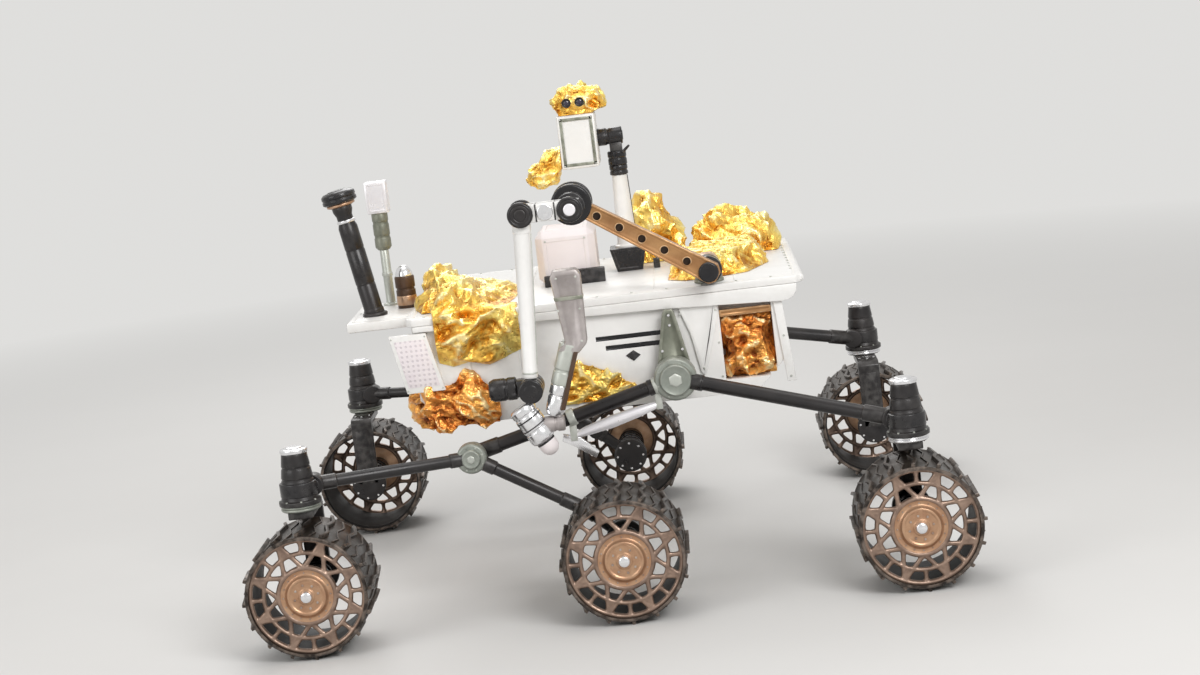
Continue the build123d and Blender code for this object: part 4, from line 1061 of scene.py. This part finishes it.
def antenna():
    """The black can, which leans to the rear, with its pale ring and overhanging cap."""
    foot, line = Vector((-364, -60, BODY_TOP)), Vector((-32, 0, 188))
    step = line.normalized()
    disc = turned("Black tube", foot, UP, (0, 21), (4, 21), (6, 19), (6, 15))
    post = turned("Black tube", foot + step * 3, line, (0, 17), (8, 17), (9.5, 15.8), (50, 16), (51, 15.5),
                  (54, 15.5), (55, 16.2), *groove(110, 115, 16.2, 15.6), (152, 16.2), (160, 13.5),
                  (172, 13.5), (180, 16.6), (187.7, 17))
    pale = turned("Polished silver", foot + step * 162, line, *groove(0, 6, 14, 15.6))
    ring = turned("Copper disc", foot + line, line, (0, 19), (2, 24), (5, 24), (6, 22.5))
    cap = turned("Black drum", foot + line + step * 6, line, (0, 25.5), (2, 29), *groove(7, 10.5, 29, 27.8),
                 (16, 28.5), (19.5, 24), (20.5, 17), (22, 15), (22, 5))
    return [disc, post, pale, ring, cap]


def relay():
    """The bright box on its grey cylinder and slim post."""
    post = turned("Pale grey", (-350, 60, BODY_TOP), UP, (0, 13), (3, 13), (4.5, 7.8),
                  *groove(50, 57, 7.8, 9.2), (96, 7.8))
    barrel = turned("Olive grey", (-350, 60, 558), UP, (0, 10), (5, 14), *groove(20, 26, 14, 13),
                    *groove(44, 50, 14, 13), (64, 14))
    box = inset(block("Bright metal", (-368, 42, 622), (-332, 78, 676), 1.8), WALLS, (3.4, 0), (1, -0.8))
    return [post, barrel, smooth(box)]


def dome():
    """The dark domed drum with a silver top, and the coppery band round its foot."""
    body = turned("Dark brown", (-315, 0, BODY_TOP), UP, (0, 16.5), (30, 16.5), (31, 15.2), (34, 15.2),
                  (35, 16.8), (52, 16.8), (54, 15.5), (55, 14), edge=0.4)
    band = turned("Copper disc", (-315, 0, 466), UP, (0, 16), (2, 17.1), (16, 17.1), (18, 16), edge=0.4)
    top = turned("Polished silver", (-315, 0, 516.5), UP, (0, 15), (4, 14.6), (9.5, 12.5), (14, 9), (17, 4.5),
                 (17.5, 2), edge=0)
    return [body, band, top]


class RoverRear(bpy.types.Operator):
    """Builds the shelf, the radiator, the antenna can, the relay box and the dome"""
    bl_idname = "object.rover_rear"
    bl_label = "Rover rear fittings"

    def execute(self, context):
        ready("rear_shelf", shelf(), "antenna_shelf")
        ready("dotted_radiator", radiator(), "radiator_panel")
        ready("antenna_post", antenna(), "antenna_can")
        ready("relay_head", relay(), "relay_box")
        ready("shelf_dome", dome(), "shelf_drum")
        return {"FINISHED"}


# Mast and camera head

MAST_X, MAST_Y = 66, 60


def mast():
    """The tapered white post in its black foot that widens upwards, with a dark collar at the top."""
    x, y = MAST_X, MAST_Y
    foot = block("Black drum", (x - 22, y - 22, DECK_TOP), (x + 22, y + 22, 515), 0)
    for vertex in foot.data.vertices:
        if vertex.co.z > 0.5:
            middle = metres((x, y, 515))
            vertex.co = middle + (vertex.co - middle) * 31 / 22
    foot = finished(inset(foot, WALLS, (5, 0), (1, -1.2)), "Black drum", 1.8)
    post = turned("White paint", (x, y, 514), UP, (0, 21.5), (4, 21.5), (5.5, 17.5), (12, 16.8), (120, 12.8),
                  (126, 12.5), sides=48)
    collar = turned("Black drum", (x, y, 638), UP, (0, 13), (1, 15.5), *groove(6, 10, 15.5, 14.5), (16, 15.5),
                    (17, 15))
    strip = plate("Black drum",
                  [(x + dx, y - 1.6, z) for dx, z in ((15, 520), (17.6, 520), (14, 637), (11.4, 637))],
                  (0, 3.2, 0), 0.6)
    return [foot, post, collar, strip] + bolts(circle((x, y, 514.5), 26.2, 4, "Z", pi / 4), UP, 2, 1.2)


def pan():
    """The black pan drum, neck and tilt motor."""
    x, y = MAST_X, MAST_Y
    body = turned("Black drum", (x, y, 655.3), UP, (0, 15), (1, 16), *groove(10, 14, 16, 15), (22, 16),
                  (24, 14.5), (24, 9), (45, 9))
    motor = turned("Black drum", JOINTS["camera_tilt"], AHEAD, (0, 14), (1, 15), *groove(14, 20, 15, 13.8),
                   (40, 15), (42, 13.5), (41.5, 9), (43, 8), (43, 3))
    hook = turned("Black drum", (x + 10, y - 12, 676), (14, -1, 12), (0, 2.6), (10, 2.4), (17, 1.8), sides=12)
    yoke = block("Black tube", (x - 10.5, y - 10.5, 672), (x + 10.5, y + 10.5, 694), 1.6)
    return [body, motor, hook, yoke]


def camera_case():
    """The white case with a grey frame round its faces."""
    x0, x1, y, z0, z1 = -27.3, 36.7, 14, 660, 750
    case = block("White paint", (x0, y, z0), (x1, 106, z1), 3.5)
    inset(case, [OUT], (4, 0), (1, -1.4))
    inset(case, [BACK], (5, 0), (1, -1.4))
    parts = [smooth(inset(case, [IN], (4, 0), (1, -1.4)))]
    for at in (46, 78):
        parts.append(turned("Black drum", (x0 + 1, at, 705), BACK, (0, 15), (1, 15), (1, 12.5), (0.4, 12)))
        parts.append(turned("Lens glass", (x0 + 1.2, at, 705), BACK, (0, 11.8), (0.6, 11), (1.2, 8),
                            (1.4, 3)))
    left, right, low, high, w = x0 + 4, x1 - 4, z0 + 4, z1 - 4, 5.2
    for a, b, c, d in ((left, low, left + w, high), (right - w, low, right, high),
                       (left, low, right, low + w), (left, high - w, right, high)):
        parts.append(block("Olive grey", (a, y - 0.4, b), (c, y + 2, d), 0.4))
    return parts + bolts([(x, y - 0.2, z) for x in (x0 + 5.8, x1 - 5.8) for z in (z0 + 5.8, z1 - 5.8)], OUT,
                         1.6, 1)


def lenses():
    """The two dark lenses that look out of the foil."""
    parts = []
    for x in (-7.3, 14.7):
        parts.append(turned("Black drum", (x, 28, 771), OUT, (0, 7.8), (11.5, 8), (13, 7.8), (12.8, 6.2),
                            (11, 5.8), sides=32))
        parts.append(turned("Lens glass", (x, 18.5, 771), OUT, (0, 6.2), (1.2, 5), (2, 2.5), sides=32))
    return parts


class RoverMast(bpy.types.Operator):
    """Builds the mast, its pan and tilt joints and the camera head"""
    bl_idname = "object.rover_mast"
    bl_label = "Rover mast"

    def execute(self, context):
        ready("white_mast", mast(), "mast")
        ready("pan_and_tilt", pan(), "mast_pan")
        ready("camera_case", camera_case(), "camera_box")
        wrap = film(bundle("camera_foil"), "Gold foil", 0.0014, 0.0082, (0.8, 0.8, 1), 15,
                    hanging(0.750, 0, -0.030), 3.1, 0.002)
        ready("camera_wrap", [wrap], "camera_foil")
        ready("camera_eyes", lenses(), "camera_lenses")
        return {"FINISHED"}


# Arm

SHOULDER, ELBOW, WRIST = (JOINTS[name] for name in ("shoulder_lift", "elbow_bend", "wrist_bend"))


def foot_and_turntable():
    """The fixed foot, and the turning disc with the upright that holds the shoulder."""
    x, y = SHOULDER.x, SHOULDER.y
    foot = turned("Olive grey", (x, y, DECK_TOP), UP, (0, 24), (3, 24), (4, 22.5), (8, 22))
    ready("arm_foot", [foot] + bolts(circle((x, y, 478.2), 23.2, 8, "Z"), UP, 1, 0.6), "arm_pedestal")
    disc = turned("Olive grey", (x, y, 483.3), UP, (0, 21.5), (1, 22), (3, 22), (4, 21), (5, 22), (8, 22))
    outline = (-18, 491), (18, 491), (18, 509), (14, 516), (7, 520), (-7, 520), (-14, 516), (-18, 509)
    cheek = side_plate("Copper disc", [(x + dx, z) for dx, z in outline], -198, 48, 1.6)
    ready("shoulder_block", [disc, inset(cheek, [IN], (3, 0), (0.6, -0.8))], "arm_turntable")


def beam():
    """The tapered bronze beam with its row of round recesses, darkened as painted shade: black walls and a dark
    brown disc in each.
    """
    run, rise = ELBOW.x - SHOULDER.x, ELBOW.z - SHOULDER.z
    length, a, b = hypot(run, rise), 17, 12
    half = [(-a, -a / 2), (-a / 2, -a), (length + b / 2, -b), (length + b, -b / 2)]
    outline = half + [(x, -z) for x, z in reversed(half)]
    bar = plate("Bronze paint", [(x, -279, z) for x, z in outline], (0, -26, 0), 0)
    inset(bar, (OUT, IN), (3, 0), (0.8, -1.2))
    first, last = 38, length - 44
    places = [first + (last - first) * i / 4 for i in range(5)]
    # Black cutters paint the recesses' walls black, as painted shade.
    cut(bar, [turned("Black drum", (x, -270, 0), OUT, (0, 6), (50, 6), sides=24, edge=0) for x in places])
    parts = [bar]
    for x in places:
        parts.append(turned("Bronze paint", (x, -303.5, 0), OUT, (0, 6.2), (0, 7.6), (1.5, 7.6), (1.5, 6.2),
                            sides=24, edge=0, hollow=True))
        # A dark brown disc deep in each recess: painted shade.
        parts.append(turned("Dark brown", (x, -290, 0), OUT, (0, 6.6), (3, 6.6), sides=24, edge=0))
    piece = joined(parts)
    at = Matrix.Translation(metres((SHOULDER.x, 0, SHOULDER.z)))
    piece.data.transform(at @ Matrix.Rotation(-atan2(rise, run), 4, "Y"))
    return [piece]


def across(joint, rows):
    """Turned pieces across the rover at a joint. A row is the material, the place in Y and the steps."""
    return [turned(material, (joint.x, y, joint.z), OUT, *steps) for material, y, *steps in rows]


def beam_drums():
    """Black drums at the shoulder and the elbow, with ribbed rims."""
    parts = across(SHOULDER, (
        ("Black drum", -246.3, (0, 21), (1.5, 22), *groove(12, 17, 22, 20.5), (32.5, 22)),
        ("Black drum", -305, (0, 16), (4, 16), (6, 14), (5.2, 10), (5.2, 5))))
    parts += across(ELBOW, (
        ("Black drum", -266, (0, 28), (2, 32), (12, 32), (13, 31)),
        ("Black drum", -305, (0, 30), (2, 32), *groove(8, 13, 32, 30.5), (19, 32), (21, 29.5))))
    parts.append(turned("Polished silver", (ELBOW.x, -266.2, ELBOW.z), IN, (0, 20), (0.2, 20), (1, 18),
                        (1, 6)))
    return parts


def forearm():
    """The white link and the slim white post that hangs to the wrist."""
    x0, x1, z, half, c = -94, 10, ELBOW.z, 14, 7
    low = [(x0, z - c), (x0 + c, z - half), (x1 - c, z - half), (x1, z - c)]
    outline = low + [(x, 2 * z - height) for x, height in reversed(low)]
    link = inset(side_plate("White paint", outline, -359, 34, 2), [UP], (4, 0), (0.8, -0.8))
    line = Vector((-80, WRIST.y, z)) - WRIST
    step, length = line.normalized(), line.length - 19.3
    foot = WRIST + step * 19.3
    post = turned("White paint", foot, line, (0, 10.5), (2, 11.7), (14, 11.7), (15.5, 10.9),
                  (length - 30, 13.4), (length - 28.5, 14.6), (length, 14.6))
    ring = turned("Pale grey", foot + step * 6.5, line, (0, 11.5), (0.6, 12.1), (3, 12.1), (3.6, 11.5))
    corners = (20, 10.8), (20, 12.2), (length - 32, 14.8), (length - 32, 13)
    edge = plate("Pale grey", [foot + step * at + Vector((dx, -1.5, 0)) for at, dx in corners], (0, 3, 0),
                 0.4)
    return [link, post, ring, edge]


def forearm_drums():
    """The black discs at the elbow and over the forearm's top, and the bright disc between."""
    z = ELBOW.z
    parts = across(ELBOW, [("Black drum", -326.3, (0, 21), (1, 22), *groove(14, 19, 22, 20.5), (32.7, 22))])
    for x, middle in ((ELBOW.x, "Bright metal"), (-80, "Black tube")):
        parts += across(Vector((x, 0, z)), (
            ("Black drum", -393, (0, 20), (6, 20), (8.5, 18), (9, 16), (7.8, 15)),
            ("Black tube", -400.5, (0, 15), (0.6, 14.8), (1, 11), (0.4, 10)),
            (middle, -400.5, (0, 9.5), (1.4, 9.3), (2, 7.5), (1.4, 4))))
    parts.append(turned("Black drum", (-80, -350, z), OUT, (0, 18), (2, 20), (9, 20)))
    parts += [block("Black tube", (x - 1.2, -393.6, z - 13.8), (x + 1.2, -360, z + 13.8), 0.4) for x in (-56,
                                                                                                         -27)]
    parts.append(turned("Polished silver", (-42, -392.5, z), OUT, (0, 12.5), (3, 12.5), (4, 11), (3.4, 6),
                        (4, 4)))
    return parts


def by_wrist(dx, dz, dy=0.0):
    """A place from the wrist's middle."""
    return WRIST + Vector((dx, dy, dz))


def wrist():
    """The dark wrist drum, the slanted silver cylinder below it and the short bar under the drill."""
    body = turned("Black drum", by_wrist(0, 0, 51), OUT, (0, 17.5), (1.5, 19), *groove(26, 32, 19, 17.6),
                  *groove(50, 57, 19, 17.8), (66.5, 19), (68, 17), (67.2, 11), (68, 9.5), (68, 4))
    seat = block("Black drum", by_wrist(-24, -13, 23), by_wrist(0, 13, 51), 1.4)
    top, line = by_wrist(-20, -24), Vector((32, 0, -56))
    silver = turned("Polished silver", top, line, (0, 18), (3, 20.8), *groove(12, 17, 21, 19.6),
                    *groove(40, 45, 21, 19.6), (58, 21), (62, 19.6), (64.5, 16), sides=48)
    bands = [turned("Black drum", top + line.normalized() * at, line, (0, 19.9), (0.4, 21.3), (2.6, 21.3),
                    (3, 19.9), sides=48, edge=0) for at in (20, 35)]
    stub = turned("Taupe grey", by_wrist(0, -56), AHEAD, (0, 12.5), *groove(30, 35, 12.5, 11.2), (44, 12.5),
                  (46, 10.8), (45.5, 6))
    return [body, seat, silver, stub] + bands


def tools():
    """The dark cylinder that points to the rear and the pale rounded end below the silver one."""
    dark = turned("Black drum", by_wrist(-24, 0, 37), BACK, (0, 16.5), (2, 18), *groove(14, 19, 18, 16.8),
                  (36, 18), (39, 16.5), (42.5, 15), (44, 12), (43.2, 7))
    rim = turned("Copper disc", by_wrist(-65.5, 0, 37), BACK, (0, 14.6), (1.2, 14), (2, 11), (1.2, 8))
    end, line = by_wrist(12, -80), (13, 0, -22.75)
    pale = turned("Panel white", end, line, (0, 13.5), (1.2, 15), (10, 15), (16, 14), (20.5, 11.5), (24, 7.5),
                  (25.5, 3))
    collar = turned("Black drum", end, line, (0.5, 14), (1, 15.3), (3.6, 15.3), (4.2, 14), edge=0)
    return [dark, rim, pale, collar]


def drill():
    """The drill: a taupe cover above, and below it a pale barrel with a bright rounded foot."""
    cover, band = ([(WRIST.x + dx, WRIST.z + dz) for dx, dz in outline] for outline in (
        ((48, 58), (62, 70), (50, 172), (56, 182), (92, 182), (98, 172), (96, 66), (80, 50)),
        ((53.5, 135), (98, 135), (97.5, 141), (52.8, 141))))
    parts = [inset(side_plate("Taupe grey", cover, -361, 30, 3.4), [OUT], (4.5, 0), (0.9, -1.2)),
             side_plate("Olive grey", band, -360, 32, 1)]
    low, high = by_wrist(30, -43.4), by_wrist(68, 66)
    line = high - low
    n = line.length
    parts.append(turned("Pale grey", low, line, (n * 0.42, 14), (n * 0.44, 15.8), (n * 0.60, 15.8),
                        (n * 0.61, 14.6), (n * 0.64, 14.6), (n * 0.65, 15.8), (n - 1, 15.8), (n, 14.5)))
    parts.append(turned("Polished silver", low, line, (0, 9), (1.2, 11.8), (6, 14), (14, 15),
                        *groove(30, 35, 15, 13.8), (n * 0.42, 15), (n * 0.43, 14)))
    corners = (0.08, 9), (0.08, 16.5), (0.90, 16.5), (0.90, 9)
    parts.append(plate("Dark brown", [low + line * t + Vector((dx, -15, 0)) for t, dx in corners], (0, 22, 0),
                       1.2))
    places = (60, 74), (88, 70), (60, 170), (90, 170), (57, 120), (91, 120)
    return parts + bolts([by_wrist(dx, dz, -14.7) for dx, dz in places], OUT, 1.8, 0.8)


class RoverArm(bpy.types.Operator):
    """Builds the arm from its pedestal to the tools at its wrist"""
    bl_idname = "object.rover_arm"
    bl_label = "Rover arm"

    def execute(self, context):
        foot_and_turntable()
        ready("bronze_beam", beam(), "upper_arm")
        ready("beam_drums", beam_drums(), "upper_arm_drums")
        ready("white_forearm", forearm(), "forearm")
        ready("forearm_discs", forearm_drums(), "forearm_drums")
        ready("wrist_and_bar", wrist(), "tool_turret")
        ready("turret_heads", tools(), "turret_tools")
        ready("drill_housing", drill(), "turret_drill")
        return {"FINISHED"}


# Stage, in metres

PALE = (0.74, 0.735, 0.72, 1)


def seen_rays(tree):
    """1 where the camera, a reflection or glass looks, and 0 for the light on the rover."""
    rays = add(tree, "LightPath", {}).outputs
    seen = number(tree, "MAXIMUM", rays["Is Camera Ray"], rays["Is Glossy Ray"])
    return number(tree, "MAXIMUM", seen, rays["Is Transmission Ray"])


def floor():
    """A pale floor that keeps the shadow and fades into the background far out."""
    select()
    bpy.ops.mesh.primitive_circle_add(vertices=96, radius=14.0, fill_type="NGON")
    disc = bpy.context.object
    disc.name = "pale_floor"
    tree, shader = blank("Pale floor")
    tone = mixed(tree, cloud(tree, 3.0, 4.0), (0.67, 0.66, 0.645), (0.70, 0.69, 0.675))
    feed(tree, shader, {"Base Color": tone, "Roughness": 0.75})
    away = add(tree, "VectorMath", {0: place_in(tree)}, operation="LENGTH").outputs["Value"]
    far = number(tree, "MULTIPLY", spread(tree, away, 1.3, 4.5), seen_rays(tree))
    glow = add(tree, "Emission", {"Color": PALE, "Strength": 1.0})
    mix = add(tree, "MixShader", {0: far, 1: shader.outputs[0], 2: glow.outputs[0]})
    feed(tree, tree.nodes["Material Output"], {"Surface": mix.outputs[0]})
    covered(disc, "Pale floor")


def lamps():
    """A large soft key at the right, a fill at the left, a light from behind and one from the top."""
    for name, place, width, power in (("Key", (1.5, -2.9, 2.3), 1.5, 74.0),
                                      ("Fill", (-2.4, -2.2, 1.6), 1.8, 26.0),
                                      ("Back", (-0.6, 2.4, 2.4), 1.6, 34.0),
                                      ("Top", (0.0, 0.0, 3.0), 1.6, 16.0)):
        select()
        bpy.ops.object.light_add(type="AREA", location=place)
        lamp = bpy.context.object
        lamp.name = name
        lamp.data.size = width
        lamp.data.energy = power
        aim = Vector((0, 0, 0.35)) - Vector(place)
        lamp.rotation_euler = aim.to_track_quat("-Z", "Y").to_euler()


def background():
    """Even light on the rover, and a pale colour where the background is seen or mirrored."""
    world = bpy.context.scene.world or bpy.data.worlds.new("Room")
    bpy.context.scene.world = world
    world.use_nodes = True
    tree = world.node_tree
    tree.nodes.clear()
    light = add(tree, "Background", {"Color": (1.0, 0.99, 0.97, 1), "Strength": 0.42})
    pale = add(tree, "Background", {"Color": PALE, "Strength": 1.0})
    mix = add(tree, "MixShader", {0: seen_rays(tree), 1: light.outputs[0], 2: pale.outputs[0]})
    add(tree, "OutputWorld", {0: mix.outputs[0]})


def camera():
    """The photograph's view of the rover, taken with a longer lens."""
    place, aim, roll = Vector((0.177, -4.158, 0.988)), Vector((0.002, 0.0, 0.372)), radians(7.0)
    ahead = (aim - place).normalized()
    right = ahead.cross(UP).normalized()
    above = right.cross(ahead)
    right, above = right * cos(roll) - above * sin(roll), above * cos(roll) + right * sin(roll)
    select()
    bpy.ops.object.camera_add(location=place)
    view = bpy.context.object
    view.name = "Camera"
    view.rotation_euler = Matrix((right, above, -ahead)).transposed().to_euler()
    view.data.sensor_width = 36.0
    view.data.lens = 36.0 * 2480.0 / 1200.0
    bpy.context.scene.camera = view


class RoverStage(bpy.types.Operator):
    """Sets the floor, the soft lamps, the pale background and the camera"""
    bl_idname = "object.rover_stage"
    bl_label = "Rover stage"

    def execute(self, context):
        floor()
        lamps()
        background()
        camera()
        context.scene.view_settings.view_transform = "Standard"
        return {"FINISHED"}


STEPS = (RoverStage, RoverWheels, RoverKnuckles, RoverLegs, RoverBody, RoverDeck, RoverFoil, RoverRear,
         RoverMast, RoverArm)


class RoverPanel(bpy.types.Panel):
    """Lists the rover's steps and settings in the sidebar"""
    bl_idname = "VIEW3D_PT_rover"
    bl_label = "Rover"
    bl_space_type = "VIEW_3D"
    bl_region_type = "UI"
    bl_category = "Rover"

    def draw(self, context):
        for group in (context.scene.rover_sizes, context.scene.rover_colours):
            for key in group.__annotations__:
                self.layout.prop(group, key)
        for step in STEPS:
            self.layout.operator(step.bl_idname)


CLASSES = (RoverSizes, RoverColours) + STEPS + (RoverPanel,)


def register():
    for cls in CLASSES:
        bpy.utils.register_class(cls)
    bpy.types.Scene.rover_sizes = bpy.props.PointerProperty(type=RoverSizes)
    bpy.types.Scene.rover_colours = bpy.props.PointerProperty(type=RoverColours)


def unregister():
    del bpy.types.Scene.rover_colours
    del bpy.types.Scene.rover_sizes
    for cls in reversed(CLASSES):
        bpy.utils.unregister_class(cls)


def main():
    register()
    build_materials()
    for step in STEPS:
        area, name = step.bl_idname.split(".")
        getattr(getattr(bpy.ops, area), name)()


if __name__ == "__main__":
    main()
